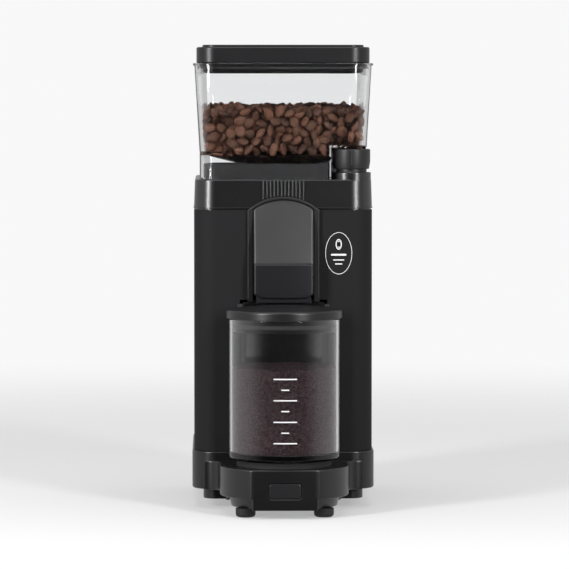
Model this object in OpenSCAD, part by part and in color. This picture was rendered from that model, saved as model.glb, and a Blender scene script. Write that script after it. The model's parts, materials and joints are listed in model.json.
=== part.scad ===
// Burr coffee grinder with a lift-off bean hopper and a glass jar for the ground coffee.
// Millimetres. X to the right, Y to the back, Z up. The origin is on the table under the
// middle of the object's box.

/* [Body] */
// Width of the metal sleeve
body_w = 144; // [130:1:176]
// Depth of the metal sleeve
body_d = 169.6; // [155:0.1:206]
// Height of the metal sleeve
sleeve_h = 195; // [190:1:236]
// Sheet thickness of the sleeve
sleeve_t = 1.5; // [1:0.1:2]
// Radius of the sleeve's upright corners
corner_r = 18; // [15:0.5:20]

/* [Base] */
// Height of the rubber feet
foot_h = 7; // [5:0.5:10]
// Radius of the rubber feet
foot_r = 7.9; // [6:0.1:9]
// Height of the recessed plinth
plinth_h = 8.5; // [7:0.5:11]
// How far the plinth stands back under the skirt
plinth_inset = 9; // [6:0.5:11]
// Height of the skirt around the foot of the sleeve
skirt_h = 30.5; // [28:0.5:37]
// How far the skirt stands out from the sleeve
skirt_lip = 1.6; // [1:0.1:3]
// Wall of the moulded housings
shell_t = 2.5; // [2:0.1:3]
// How far the platform's top lies below the skirt's top
platform_drop = 7; // [5:0.5:10]
// How far the platform reaches round the jar
platform_margin = 6.6; // [5:0.1:9]
// How far the platform's flat front stands short of the jar's front
facet_setback = 0.5; // [0:0.1:3]
// Height of the jar pad
pad_h = 5; // [3:0.5:6]

/* [Power button] */
// Width of the button
button_w = 25.4; // [20:0.1:31]
// Height of the button
button_h = 12; // [9:0.1:14.4]
// Travel of the button
button_travel = 2.5; // [1.5:0.1:3]
// Gap round the button
button_gap = 0.4; // [0.3:0.1:0.6]

/* [Jar] */
// Outer radius of the glass jar
jar_r = 44.8; // [38:0.1:54]
// Height of the glass jar
jar_h = 112; // [95:1:116]
// Thickness of the glass
jar_wall = 3; // [2:0.1:3.6]
// Height of the side of the jar lid
lid_side_h = 7; // [6:0.1:8.4]
// Height of the jar lid's dome above its side
lid_dome_h = 3; // [2:0.1:3.5]
// Depth that the jar lid's plug reaches into the jar
lid_plug_h = 10.5; // [8:0.1:12]
// How deep the jar nests into the front of the body
nest = 10.3; // [6:0.1:12]

/* [Outlet] */
// Half the width of the arched front frame
frame_half = 29; // [28:0.1:34]
// Height of the arch above the sleeve's top
arch_rise = 10.8; // [8:0.1:13]
// How far the front frame stands proud of the sleeve
frame_t = 3; // [2:0.1:4]
// Half the width of the chute cover
cover_half = 24; // [23.8:0.1:24.2]
// How far the cover's nose stands out from the sleeve
nose_reach = 15.3; // [14.5:0.1:18]
// Height of the nose's upright part
nose_h = 27; // [22:0.5:29]
// Height of the outlet neck that shows below the nose
neck_h = 3.4; // [2:0.1:5]

/* [Top] */
// Height of the top cap
cap_h = 24.5; // [23:0.5:30]
// Thickness of the cap's roof
cap_roof = 3; // [2:0.1:3]
// Number of grip ribs on the cap's front
ribs = 12; // [8:1:13]
// Distance between neighbouring ribs
rib_pitch = 2.94; // [2.4:0.01:3.1]

/* [Hopper] */
// Height of the hopper above the cap, without its lid
hopper_h = 93.5; // [80:0.5:112]
// Height of the hopper's upright foot
hopper_foot_h = 20.5; // [18:0.5:24]
// How far the hopper's foot stands in from the cap's sides
hopper_inset = 4.6; // [4:0.1:8]
// Wall of the hopper
hopper_wall = 2.8; // [2:0.1:3]
// Height of the hopper lid's side
hopper_lid_h = 12.9; // [11:0.1:15.4]
// Outer radius of the hopper's throat
throat_r = 15.5; // [13:0.1:16.2]
// How far the hopper's funnel floor falls to the throat
funnel_drop = 12; // [8:0.5:13]
// Thickness of the hopper's floor
floor_t = 2.2; // [1.8:0.1:3]

/* [Adjusting knob] */
// Radius of the knob
knob_r = 15.3; // [12:0.1:15.6]
// Height of the knob
knob_h = 16.1; // [13:0.1:19.2]
// Distance of the knob's axis from the front and the side of the sleeve
knob_inset = 16.8; // [16.6:0.1:17.4]
// Height of the pedestal under the knob
pedestal_h = 5.7; // [4:0.1:6.8]
// Teeth on the pinion
pinion_teeth = 20; // [18:1:20]
// Play between the flanks of the teeth
backlash = 0.16; // [0.1:0.01:0.2]

/* [Grinding] */
// Radius of the flat burrs
burr_r = 24.5; // [22:0.1:29.4]
// Thickness of each burr
burr_t = 7; // [6:0.1:7.5]
// Gap between the burrs at the middle setting
burr_gap = 0.8; // [0.6:0.05:1.2]
// Distance of the burr axis from the sleeve's front
burr_setback = 66.2; // [64:0.1:74]
// Inner radius of the grinding chamber
chamber_r = 36; // [33:0.1:40]
// Height of the grinding chamber
chamber_h = 44; // [42:0.5:48]

/* [Motor] */
// Outer radius of the motor
motor_r = 40; // [36:0.5:44]
// Height of the stator's laminations
stator_h = 52; // [44:0.5:62]
// Radius of the rotor
rotor_r = 20; // [18:0.1:21]
// Radius of the motor shaft
shaft_r = 4; // [3.5:0.1:4.2]
// Height of the rubber mounts
mount_h = 12; // [8:0.5:16]

/* [Cord inlet] */
// Radius of the hole that the power cord passes through
cord_hole_r = 3.75; // [3:0.05:4.5]

/* [Hidden] */
$fn = 64;

// Clearances
slip = 0.3;      // between pieces that lift or slide apart
snug = 0.1;      // between pieces that are fastened together
running = 0.05;  // a shaft in its bore
over = 1;        // how far a cut runs past a face

// Places along Y
jar_reach = jar_r - nest;
jar_lid_r = jar_r + 1.3;
total_d = skirt_lip + body_d + jar_reach + jar_lid_r;
rear_y = total_d / 2;
sleeve_rear = rear_y - skirt_lip;
sleeve_front = sleeve_rear - body_d;
sleeve_mid = (sleeve_front + sleeve_rear) / 2;
jar_y = sleeve_front - jar_reach;
facet_y = jar_y - jar_r + facet_setback;
burr_y = sleeve_front + burr_setback;
platform_r = jar_r + platform_margin;

// Levels along Z
plinth_top = foot_h + plinth_h;
base_top = plinth_top + skirt_h;
platform_top = base_top - platform_drop;
pad_top = platform_top + pad_h;
jar_z = pad_top + snug;
jar_top = jar_z + jar_h;
jar_lid_z = jar_top + snug;
jar_lid_top = jar_lid_z + lid_side_h + lid_dome_h;
recess_top = jar_lid_top + 0.6;
neck_z = jar_lid_top + 1;
nose_z = neck_z + neck_h;
nose_top = nose_z + nose_h;
sleeve_top = base_top + sleeve_h;
cap_top = sleeve_top + cap_h;
deck_t = 2;
deck_top = sleeve_top - deck_t;
ring_t = 6;
ring_top = cap_top - cap_roof - 4;
ring_z = ring_top - ring_t;
chamber_top = ring_z - slip;
chamber_z = chamber_top - chamber_h;
chamber_floor = 3;
chamber_wall = 6;
flange_t = 4.4;
flange_top = chamber_top - 5;
flange_z = flange_top - flange_t;
upper_burr_z = flange_z - burr_t;
lower_burr_z = upper_burr_z - burr_gap - burr_t;
window_z = chamber_z + chamber_floor + 2;
window_top = upper_burr_z - 1;

// Chassis
plate_t = 2;
chassis_top = base_top + snug + plate_t;
mount_top = chassis_top + mount_h;
bell_t = 4;
upper_bell_h = 44;
stator_top = chamber_z - upper_bell_h;
stator_z = stator_top - stator_h;
bearing_r = 11;
bearing_h = 9;
bearing_seat = 3;
lower_bearing_z = mount_top + bell_t;
lug_r = motor_r + 6;
upper_bearing_z = chamber_z - bell_t - bearing_h;
post_r = 3.5;
post_places = [[body_w / 2 - 16, sleeve_front + 38], [body_w / 2 - 16, sleeve_rear - 34],
    [-(body_w / 2 - 16), sleeve_front + 38], [-(body_w / 2 - 16), sleeve_rear - 34]];

// Jar recess in the front of the body
liner_t = 2;
recess_r = jar_r + 2.5;
recess_half = sqrt(pow(recess_r + liner_t, 2) - pow(jar_reach, 2));

// Hole in the jar lid
fill_w = 34;
fill_d = 13;
fill_r = 5;
fill_y = jar_y + 27;

// Arched front
arch_r = (pow(frame_half, 2) + pow(arch_rise, 2)) / (2 * arch_rise);
arch_z = sleeve_top + arch_rise - arch_r;
cover_arch_r = arch_r - 2.8;
cover_t = 1.6;
nose_y = sleeve_front - nose_reach;
brow_reach = 1.7;
duct_half = 22;
duct_t = 1.6;
neck_half = 16;

// Adjusting gears
knob_x = body_w / 2 - knob_inset;
knob_y = sleeve_front + knob_inset;
gear_dist = sqrt(pow(knob_x, 2) + pow(knob_y - burr_y, 2));
gear_dir = atan2(knob_y - burr_y, knob_x);
gear_pairs = floor(2 * gear_dist / 1.2);
gear_module = 2 * gear_dist / gear_pairs;
ring_teeth = gear_pairs - pinion_teeth;
sector_teeth = 10;
pressure_angle = 20;
pedestal_r = knob_r + 0.5;
pedestal_top = cap_top + pedestal_h;
knob_neck_h = 2.3;
knob_z = pedestal_top + slip + knob_neck_h;
knob_shaft_r = 4;
carrier_neck_r = 24;
carrier_bore_r = throat_r + 1.5;
ring_body_r = 33;

// Hopper
hopper_top = cap_top + hopper_h;
hopper_w = body_w - 2 * hopper_inset;
hopper_d = body_d - 2 * hopper_inset;
hopper_r = corner_r - hopper_inset;
hopper_floor = cap_top + hopper_foot_h;
hopper_flare = 4.3;
hopper_rim_t = 2;
hopper_rim_w = 1.1;
hopper_z = cap_top + slip;
throat_z = cap_top - 7;
notch_r = knob_r + 1.5;
notch_top = knob_z + knob_h + 1.6;
lid_ledge = 1;
plug_gap = 0.5;

// Power switch
button_z = (plinth_top + platform_top) / 2 - 5;
button_stem_r = 2.5;
switch_y = facet_y + 11;

// A rounded rectangle, centred
module rounded(w, d, r) {
    square([w - 2 * r, d], center = true);
    square([w, d - 2 * r], center = true);
    for (x = [-1, 1], y = [-1, 1])
        translate([x * (w / 2 - r), y * (d / 2 - r)]) circle(r);
}

// A rounded upright block centred at y, from z0 to z1
module block(w, d, r, y, z0, z1) {
    translate([0, y, z0]) linear_extrude(z1 - z0) rounded(w, d, r);
}

// An upright cylinder from z0 to z1
module post(r, z0, z1) {
    translate([0, 0, z0]) cylinder(r = r, h = z1 - z0);
}

// An upright ring from z0 to z1
module tube(r_out, r_in, z0, z1) {
    difference() {
        post(r_out, z0, z1);
        post(r_in, z0 - over, z1 + over);
    }
}

// A side profile of [y, z] points, as wide as 2 * half along X
module side_profile(points, half) {
    translate([-half, 0, 0]) rotate([90, 0, 90]) linear_extrude(2 * half) polygon(points);
}

// Puts what it is given at each of n places on a circle about Z
module around(n, r, start = 0) {
    for (i = [0 : n - 1]) rotate([0, 0, start + i * 360 / n]) translate([r, 0, 0]) children();
}

// A screw with its head above z and its shank below it
module screw(r, head_r, head_h, length, z) {
    post(head_r, z, z + head_h);
    post(r, z - length, z + over);
}

// Outline of the front platform, drawn in by inset
module platform_outline(inset) {
    half = platform_r - inset;
    intersection() {
        translate([-platform_r, facet_y + inset]) square([2 * platform_r, total_d]);
        union() {
            translate([0, jar_y]) circle(half);
            translate([-half, jar_y]) square([2 * half, sleeve_front + corner_r - jar_y]);
        }
    }
}

// ---- Base ----

blend_r = 12;
facet_half = sqrt(pow(platform_r, 2) - pow(jar_y - facet_y, 2));
facet_block_d = 14;
base_screw_places = [[36, jar_y + 14], [-36, jar_y + 14], [44, sleeve_front + 22],
    [-44, sleeve_front + 22], [30, sleeve_rear - 18], [-30, sleeve_rear - 18]];
front_foot = [31, jar_y - 23.3];
rear_foot = [body_w / 2 - 22, sleeve_rear - 25];
foot_places = [front_foot, [-front_foot[0], front_foot[1]],
    rear_foot, [-rear_foot[0], rear_foot[1]]];
gland_r = 9;
gland_z = plinth_top + 14;

module platform_blend(side) {
    y = sleeve_front - skirt_lip;
    translate([side * platform_r, y]) difference() {
        translate([side > 0 ? -over : -blend_r, -blend_r]) square([blend_r + over, blend_r + over]);
        translate([side * blend_r, -blend_r]) circle(blend_r);
    }
}

module base_housing() color("#1f1f21") {
    skirt_w = body_w + 2 * skirt_lip;
    skirt_d = body_d + 2 * skirt_lip;
    skirt_r = corner_r + skirt_lip;
    plinth_r = skirt_r - plinth_inset;
    foot_inset = plinth_inset - 2;
    difference() {
        union() {
            block(skirt_w, skirt_d, skirt_r, sleeve_mid, plinth_top, base_top);
            block(skirt_w - 2 * plinth_inset, skirt_d - 2 * plinth_inset, plinth_r, sleeve_mid,
                foot_h, plinth_top + over);
            translate([0, 0, plinth_top]) linear_extrude(platform_top - plinth_top) {
                platform_outline(0);
                platform_blend(1);
                platform_blend(-1);
            }
            translate([0, 0, foot_h]) linear_extrude(plinth_h + over) platform_outline(foot_inset);
            translate([-facet_half, facet_y, foot_h]) cube([2 * facet_half, facet_block_d, plinth_h + over]);
        }
        difference() {
            block(skirt_w - 2 * shell_t, skirt_d - 2 * shell_t, skirt_r - shell_t, sleeve_mid,
                plinth_top + shell_t, base_top - shell_t);
            translate([0, jar_y, 0])
                post(recess_r + shell_t, platform_top - shell_t, base_top);
            for (p = base_screw_places) translate(p) post(4, plinth_top, base_top);
        }
        difference() {
            block(skirt_w - 2 * plinth_inset - 2 * shell_t, skirt_d - 2 * plinth_inset - 2 * shell_t,
                plinth_r - shell_t, sleeve_mid, foot_h - over, plinth_top + shell_t + snug);
            for (p = base_screw_places) translate(p) post(4, foot_h + plate_t, base_top);
        }
        difference() {
            translate([0, 0, plinth_top + shell_t])
                linear_extrude(platform_top - plinth_top - 2 * shell_t) platform_outline(shell_t);
            for (p = base_screw_places) translate(p) post(4, plinth_top, base_top);
        }
        difference() {
            translate([0, 0, foot_h - over])
                linear_extrude(plinth_h + shell_t + over + snug) platform_outline(foot_inset + shell_t);
            for (p = base_screw_places) translate(p) post(4, foot_h + plate_t, base_top);
        }
        translate([shell_t - facet_half, facet_y + shell_t, foot_h - over])
            cube([2 * (facet_half - shell_t), facet_block_d, plinth_h + shell_t + over + snug]);
        translate([0, jar_y, 0]) post(recess_r, platform_top, base_top + over);
        for (p = base_screw_places) translate(p) post(1.4, foot_h, platform_top - shell_t - 2);
        translate([0, facet_y, button_z]) rotate([90, 0, 0]) translate([0, 0, -shell_t - over])
            linear_extrude(shell_t + 2 * over)
            rounded(button_w + 2 * button_gap, button_h + 2 * button_gap, 2.5 + button_gap);
        translate([0, rear_y + over, gland_z]) rotate([90, 0, 0])
            cylinder(r = gland_r - 2, h = shell_t + 2 * over);
        translate([-34, sleeve_rear - 42, base_top - 2 * shell_t]) cube([14, 10, 3 * shell_t]);
    }
}

module base_plate() color("#55565a") difference() {
    inset = plinth_inset + shell_t + slip;
    union() {
        block(body_w + 2 * (skirt_lip - inset), body_d + 2 * (skirt_lip - inset),
            corner_r + skirt_lip - inset, sleeve_mid, foot_h, foot_h + plate_t);
        translate([0, 0, foot_h]) linear_extrude(plate_t)
            platform_outline(plinth_inset - 2 + shell_t + slip);
        translate([shell_t + slip - facet_half, facet_y + shell_t + slip, foot_h])
            cube([2 * (facet_half - shell_t - slip), facet_block_d, plate_t]);
    }
    for (p = foot_places) translate(p) post(3.1, 0, foot_h + plate_t + over);
    for (p = base_screw_places) translate(p) post(1.8, 0, foot_h + plate_t + over);
    for (i = [-3 : 3]) translate([i * 12 - 2, burr_y + 10, 0]) cube([4, 40, foot_h + plate_t + over]);
}

module base_plate_screws() color("#8d8f93")
    for (p = base_screw_places) translate(p) rotate([180, 0, 0]) screw(1.4, 3, 1.8, 14, -foot_h);

module rubber_feet() color("#1c1c1c") for (p = foot_places) translate(p) {
    post(foot_r, 1.5, foot_h);
    post(foot_r - 1.2, 0, 1.5 + over / 2);
    post(3, foot_h - over, foot_h + plate_t + 2);
}

module jar_pad() color("#202022") translate([0, jar_y, 0]) {
    post(jar_r - 6.8, platform_top, pad_top);
}

module power_button() color("#262628") translate([0, facet_y, button_z]) rotate([90, 0, 0]) {
    translate([0, 0, -shell_t - 0.3]) linear_extrude(shell_t + 0.1) rounded(button_w, button_h, 2.5);
    translate([0, 0, -shell_t - 1.8]) linear_extrude(1.6)
        rounded(button_w + 3, button_h + 3, 2.5);
    translate([0, 0, -14]) cylinder(r = button_stem_r, h = 14 - shell_t);
}

// Points of a tube along a helix of wire radius w, coil radius r, n turns and height h
function helix_ring(a, r, h, turns, w, sides) = [for (j = [0 : sides - 1])
    let (b = j * 360 / sides, rr = r + w * cos(b))
    [rr * cos(a), rr * sin(a), h * a / (360 * turns) + w * sin(b)]];

module coil(r, h, turns, w, steps = 20, sides = 8) {
    n = turns * steps;
    points = [for (i = [0 : n]) each helix_ring(i * 360 / steps, r, h, turns, w, sides)];
    walls = [for (i = [0 : n - 1], j = [0 : sides - 1])
        [i * sides + j, i * sides + (j + 1) % sides,
         (i + 1) * sides + (j + 1) % sides, (i + 1) * sides + j]];
    first = [for (j = [sides - 1 : -1 : 0]) j];
    last = [for (j = [0 : sides - 1]) n * sides + j];
    polyhedron(points, concat(walls, [first, last]), convexity = 6);
}

module button_spring() color("silver")
    translate([0, facet_y + shell_t + 2.4, button_z]) rotate([-90, 0, 0])
    coil(4.2, switch_y - facet_y - shell_t - 3, 4, 0.35);

module power_switch() color("#2d2d30") translate([0, switch_y, button_z]) difference() {
    union() {
        translate([-11, 0, -6]) cube([22, 16, 12]);
        for (x = [-7, 0, 7]) translate([x - 2, 16 - over, -0.4]) cube([4, 7, 0.8]);
    }
    rotate([-90, 0, 0]) translate([0, 0, -over])
        cylinder(r = button_stem_r + slip, h = over + 4 + button_travel);
}

module cord_gland() color("#19191a") translate([0, rear_y, gland_z]) rotate([90, 0, 0]) difference() {
    union() {
        cylinder(r = gland_r - 2 - snug, h = shell_t + 3);
        translate([0, 0, shell_t + snug]) cylinder(r = gland_r, h = 2);
    }
    translate([0, 0, -over]) cylinder(r = cord_hole_r, h = shell_t + 4 + 2 * over);
}

// ---- Body ----

module body_sleeve() color("#232325") difference() {
    block(body_w, body_d, corner_r, sleeve_mid, base_top, sleeve_top);
    block(body_w - 2 * sleeve_t, body_d - 2 * sleeve_t, corner_r - sleeve_t, sleeve_mid,
        base_top - over, sleeve_top + over);
    translate([-recess_half - 0.2, sleeve_front - over, base_top - over])
        cube([2 * recess_half + 0.4, sleeve_t + 2 * over, recess_top + liner_t + 0.2 - base_top + over]);
    translate([-cover_half - 1, sleeve_front - over, recess_top])
        cube([2 * cover_half + 2, sleeve_t + 2 * over, sleeve_top + over - recess_top]);
}

// Outline of the arched front seen from the front, in X and Z
module arch_outline(half, r, bottom) {
    intersection() {
        translate([0, arch_z]) circle(r);
        translate([-half, bottom]) square([2 * half, arch_z + r - bottom + over]);
    }
    translate([-half, bottom]) square([2 * half, arch_z + sqrt(r * r - half * half) - bottom]);
}

// The same outline as a solid between two places along Y
module arch_block(half, r, bottom, y0, y1) {
    translate([0, y1, 0]) rotate([90, 0, 0]) linear_extrude(y1 - y0) arch_outline(half, r, bottom);
}

module front_frame() color("#2a2a2c") difference() {
    arch_block(frame_half, arch_r, recess_top, sleeve_front - frame_t, sleeve_front);
    arch_block(cover_half + 0.4, cover_arch_r + 0.4, recess_top - over,
        sleeve_front - frame_t - over, sleeve_front + over);
}

function cover_side(inset) = [
    [sleeve_front + over, sleeve_top + 2 * arch_rise],
    [sleeve_front - brow_reach + inset, sleeve_top + 2 * arch_rise],
    [sleeve_front - brow_reach + inset, arch_z + cover_arch_r],
    [nose_y + inset, nose_top],
    [nose_y + inset, nose_z - over],
    [sleeve_front + over, nose_z - over]];

module cover_shell(z0, z1) difference() {
    intersection() {
        arch_block(cover_half, cover_arch_r, z0, nose_y - over, sleeve_front);
        side_profile(cover_side(0), cover_half + over);
        translate([-body_w, nose_y - over, z0]) cube([2 * body_w, total_d, z1 - z0]);
    }
    intersection() {
        arch_block(cover_half - cover_t, cover_arch_r - cover_t, z0 - over, nose_y - over,
            sleeve_front + over);
        side_profile(cover_side(cover_t), cover_half + over);
    }
}

module chute_cover() color("#505052") cover_shell(nose_top + snug, arch_z + cover_arch_r + over);
module chute_nose() color("#2c2c30") cover_shell(nose_z, nose_top);

module outlet_duct() color("#2c2c2f") {
    inner_y = sleeve_front + 2.2;
    lip_y = sleeve_front - 1.2;
    start_y = burr_y - chamber_r;
    front_y = nose_y + cover_t + 0.5;
    top_z = window_top + duct_t;
    low_z = window_z - duct_t;
    drop = (sleeve_front + 24.2) - inner_y;
    difference() {
        side_profile([[start_y, top_z], [inner_y, top_z], [front_y, nose_top], [front_y, neck_z],
            [lip_y, neck_z], [lip_y, low_z - drop - 4], [inner_y, low_z - drop],
            [start_y, low_z]], duct_half);
        side_profile([[start_y + over, window_top], [inner_y + 0.4, window_top],
            [front_y + duct_t, nose_top], [front_y + duct_t, neck_z + 12],
            [lip_y - duct_t, neck_z + 12], [lip_y - duct_t, low_z - drop - 3],
            [inner_y - 0.4, low_z - drop + duct_t], [start_y + over, window_z + over]],
            duct_half - duct_t);
        side_profile([[front_y + duct_t, neck_z + 12 + over], [front_y + duct_t, neck_z - over],
            [lip_y - duct_t, neck_z - over], [lip_y - duct_t, neck_z + 12 + over]], neck_half);
        translate([0, burr_y, 0])
            post(chamber_r + chamber_wall + snug, low_z - over - chamber_floor, top_z + over);
    }
}

module jar_recess_liner() color("#1e1e20") difference() {
    top = recess_top + liner_t;
    union() {
        intersection() {
            translate([0, jar_y, 0]) post(recess_r + liner_t, base_top + snug, top);
            translate([-body_w / 2, sleeve_front, base_top]) cube([body_w, body_d, top]);
        }
        translate([-recess_half - 2, sleeve_front - 0.8, base_top + snug])
            cube([2 * recess_half + 4, 0.8, recess_top - base_top - 2 * snug]);
    }
    translate([0, jar_y, 0]) post(recess_r, base_top - over, recess_top);
}

// ---- Top cap ----

cap_screw_places = [[-(body_w / 2 - 18), sleeve_front + 20], [body_w / 2 - 18, sleeve_rear - 19],
    [-(body_w / 2 - 18), sleeve_rear - 19], [body_w / 2 - 10, sleeve_rear - 62]];
throat_hole_r = carrier_neck_r + 2;

module top_cap() color("#2b2b2d") difference() {
    union() {
        difference() {
            block(body_w, body_d, corner_r, sleeve_mid, sleeve_top + snug, cap_top);
            block(body_w - 2 * shell_t, body_d - 2 * shell_t, corner_r - shell_t, sleeve_mid,
                sleeve_top - over, cap_top - cap_roof);
        }
        for (p = cap_screw_places) translate(p) post(3.5, deck_top + deck_t + snug, cap_top - over);
        translate([knob_x, knob_y, 0]) post(pedestal_r, cap_top - over, pedestal_top);
        translate([knob_x, knob_y, 0]) post(7, ring_top + 1.2, cap_top);
        for (i = [0 : ribs - 1]) {
            x = (i - (ribs - 1) / 2) * rib_pitch;
            foot = arch_z + sqrt(arch_r * arch_r - x * x) + 0.4;
            translate([x - 0.6, sleeve_front - 0.8, foot]) cube([1.2, 0.8 + over, cap_top - 1 - foot]);
        }
    }
    translate([0, burr_y, 0]) post(throat_hole_r, cap_top - cap_roof - over, cap_top + over);
    translate([knob_x, knob_y, 0]) post(knob_shaft_r + running, ring_top, pedestal_top + over);
    for (p = cap_screw_places) translate(p) post(1.5, sleeve_top, cap_top - cap_roof);
}

module cap_screws() color("#8d8f93")
    for (p = cap_screw_places) translate([p[0], p[1], 0]) rotate([180, 0, 0])
    screw(1.5, 3, 2, deck_t + 12, -deck_top + snug);

module hopper_collar() color("#28282a") difference() {
    inset = hopper_wall + 0.4;
    top = cap_top + 12.8;
    block(hopper_w - 2 * inset, hopper_d - 2 * inset, hopper_r - inset, sleeve_mid,
        cap_top + 0.05, top);
    block(hopper_w - 2 * inset - 2 * shell_t, hopper_d - 2 * inset - 2 * shell_t,
        hopper_r - inset - shell_t, sleeve_mid, cap_top - over, top + over);
    knob_space(notch_r + hopper_wall + 0.8, cap_top - over, top + over);
}

// ---- Chassis ----

module sheet(z) block(body_w - 2 * sleeve_t - 1, body_d - 2 * sleeve_t - 1,
    corner_r - sleeve_t - 0.5, sleeve_mid, z, z + plate_t);

mount_places = [for (a = [0 : 90 : 270]) [30 * cos(a), burr_y + 30 * sin(a)]];
board_y = sleeve_rear - 24;
board_w = 70;
board_z = chassis_top + 24;
board_h = 80;
capacitor = [body_w / 2 - 24, sleeve_rear - 60];
capacitor_r = 14;
capacitor_h = 60;
clamp_z = chassis_top + 20;

module chassis_plate() color("#9a9ca0") difference() {
    sheet(chassis_top - plate_t);
    translate([0, jar_y, 0]) post(recess_r + liner_t + 1, base_top - over, chassis_top + over);
    for (p = mount_places) translate(p) post(3.1, base_top - over, chassis_top + over);
    translate([-34, sleeve_rear - 42, base_top - over]) cube([14, 10, plate_t + 2 * over]);
}

module chassis_posts() color("#a3a5a8") for (p = post_places) translate(p) {
    post(post_r, chassis_top, deck_top);
    post(post_r - 0.6, deck_top - over, deck_top + deck_t + 3.4);
}

module post_nuts() color("#a3a5a8") for (p = post_places) translate(p) difference() {
    translate([0, 0, deck_top + deck_t]) cylinder(r = 5, h = 3, $fn = 6);
    post(post_r - 0.6 + running, deck_top, deck_top + deck_t + 4);
}

module top_deck() color("#9a9ca0") difference() {
    sheet(deck_top);
    translate([0, burr_y, 0])
        post(chamber_r + chamber_wall + 0.5, deck_top - over, deck_top + deck_t + over);
    for (p = post_places) translate(p) post(post_r - 0.5, deck_top - over, deck_top + deck_t + over);
    for (p = cap_screw_places) translate(p) post(1.7, deck_top - over, deck_top + deck_t + over);
}

module rubber_mounts() color("#151515") for (p = mount_places) translate(p) {
    post(6, chassis_top, mount_top);
    post(3, chassis_top - plate_t, chassis_top + over);
}

// ---- Motor ----

tie_r = motor_r - 5.6;
air_gap = 0.4;
slots = 12;
slot_r = 27;

module motor_lower_bell() color("#8b8d91") translate([0, burr_y, 0]) difference() {
    post(motor_r, mount_top, stator_z - snug);
    difference() {
        post(motor_r - 3, mount_top + bell_t, stator_z + over);
        post(bearing_r + bearing_seat, mount_top, lower_bearing_z + bearing_h);
    }
    post(bearing_r + 0.01, lower_bearing_z, lower_bearing_z + bearing_h + over);
    around(4, tie_r, 45) post(2.1, mount_top - over, mount_top + bell_t + over);
    around(8, motor_r, 22.5) translate([-6, -4, mount_top + 12])
        cube([12, 8, stator_z - mount_top - 24]);
}

module motor_upper_bell() color("#8b8d91") translate([0, burr_y, 0]) difference() {
    union() {
        post(motor_r, stator_top + snug, chamber_z);
        around(3, lug_r, 90) post(5, chamber_z - bell_t, chamber_z);
    }
    difference() {
        post(motor_r - 3, stator_top - over, chamber_z - bell_t);
        post(bearing_r + bearing_seat, upper_bearing_z, chamber_z);
    }
    post(bearing_r + 0.01, upper_bearing_z - over, upper_bearing_z + bearing_h);
    post(shaft_r + 2, upper_bearing_z, chamber_z + over);
    around(4, tie_r, 45) post(1.9, stator_top, chamber_z - 1.5);
    around(3, lug_r, 90) post(1.5, chamber_z - bell_t - over, chamber_z + over);
    around(8, motor_r, 22.5) translate([-6, -4, stator_top + 10])
        cube([12, 8, upper_bell_h - bell_t - 20]);
}

module motor_tie_bolts() color("#8d8f93") translate([0, burr_y, 0]) around(4, tie_r, 45) {
    post(1.9, mount_top - 0.5, chamber_z - 2);
    translate([0, 0, mount_top - 3]) cylinder(r = 3.6, h = 3, $fn = 6);
}

module stator_core() color("#6e7074") translate([0, burr_y, 0]) difference() {
    post(motor_r, stator_z, stator_top);
    post(rotor_r + air_gap, stator_z - over, stator_top + over);
    around(slots, slot_r) post(3.2, stator_z - over, stator_top + over);
    around(4, tie_r, 45) post(2.1, stator_z - over, stator_top + over);
}

module stator_windings() color("#b06a3a") translate([0, burr_y, 0]) {
    tube(slot_r + 3.4, slot_r - 3.4, stator_z - 12, stator_z - 2);
    tube(slot_r + 3.4, slot_r - 3.4, stator_top + 2, stator_top + 12);
    around(slots, slot_r) post(2.9, stator_z - 4, stator_top + 4);
}

module rotor_core() color("#77797d") translate([0, burr_y, 0])
    tube(rotor_r, shaft_r + 0.01, stator_z + 1, stator_top - 1);

module motor_shaft() color("#b9bbbe") translate([0, burr_y, 0])
    post(shaft_r, lower_bearing_z + 0.5, lower_burr_z - 1.5);

fan_z = mount_top + bell_t + bearing_h + 5;
fan_h = 14;

module cooling_fan() color("#3a3b3e") translate([0, burr_y, 0]) difference() {
    union() {
        post(9, fan_z, fan_z + fan_h);
        post(motor_r - 9, fan_z, fan_z + 2);
        around(9, 19) translate([-11, -0.8, fan_z]) cube([22, 1.6, fan_h]);
    }
    post(shaft_r + 0.01, fan_z - over, fan_z + fan_h + over);
}

bearing_places = [lower_bearing_z, upper_bearing_z];
ball_r = 1.9;
ball_ring_r = (shaft_r + bearing_r) / 2;

module bearing_ring(r_out, r_in) difference() {
    post(r_out, 0, bearing_h);
    post(r_in, -over, bearing_h + over);
    translate([0, 0, bearing_h / 2]) rotate_extrude()
        translate([ball_ring_r, 0]) circle(ball_r + 0.02);
}

module bearing_outer_rings() color("#c4c6c8") for (z = bearing_places)
    translate([0, burr_y, z]) bearing_ring(bearing_r, ball_ring_r + 1.2);

module bearing_inner_rings() color("#c4c6c8") for (z = bearing_places)
    translate([0, burr_y, z]) bearing_ring(ball_ring_r - 1.2, shaft_r + 0.01);

module bearing_balls() color("#d0d2d4") for (z = bearing_places)
    translate([0, burr_y, z + bearing_h / 2]) around(8, ball_ring_r) sphere(ball_r, $fn = 48);

// ---- Grinding mechanism ----

keys = 3;
key_w = 4;
key_h = 3;

module grinding_chamber() color("#9b9da1") translate([0, burr_y, 0]) difference() {
    outer = chamber_r + chamber_wall;
    union() {
        difference() {
            post(outer, chamber_z, chamber_top);
            post(chamber_r, chamber_z + chamber_floor, chamber_top + over);
        }
        around(keys, chamber_r, 30) translate([-key_h, -key_w / 2, upper_burr_z + 2])
            cube([key_h + 1, key_w, chamber_top - upper_burr_z - 2]);
        around(3, lug_r, 90) post(5, chamber_z, chamber_z + bell_t);
    }
    post(shaft_r + 1, chamber_z - over, chamber_z + chamber_floor + over);
    translate([-duct_half + duct_t, -outer - over, window_z])
        cube([2 * (duct_half - duct_t), chamber_wall + 12, window_top - window_z]);
    around(3, lug_r, 90) post(2.1, chamber_z - over, chamber_z + bell_t + over);
}

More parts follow.
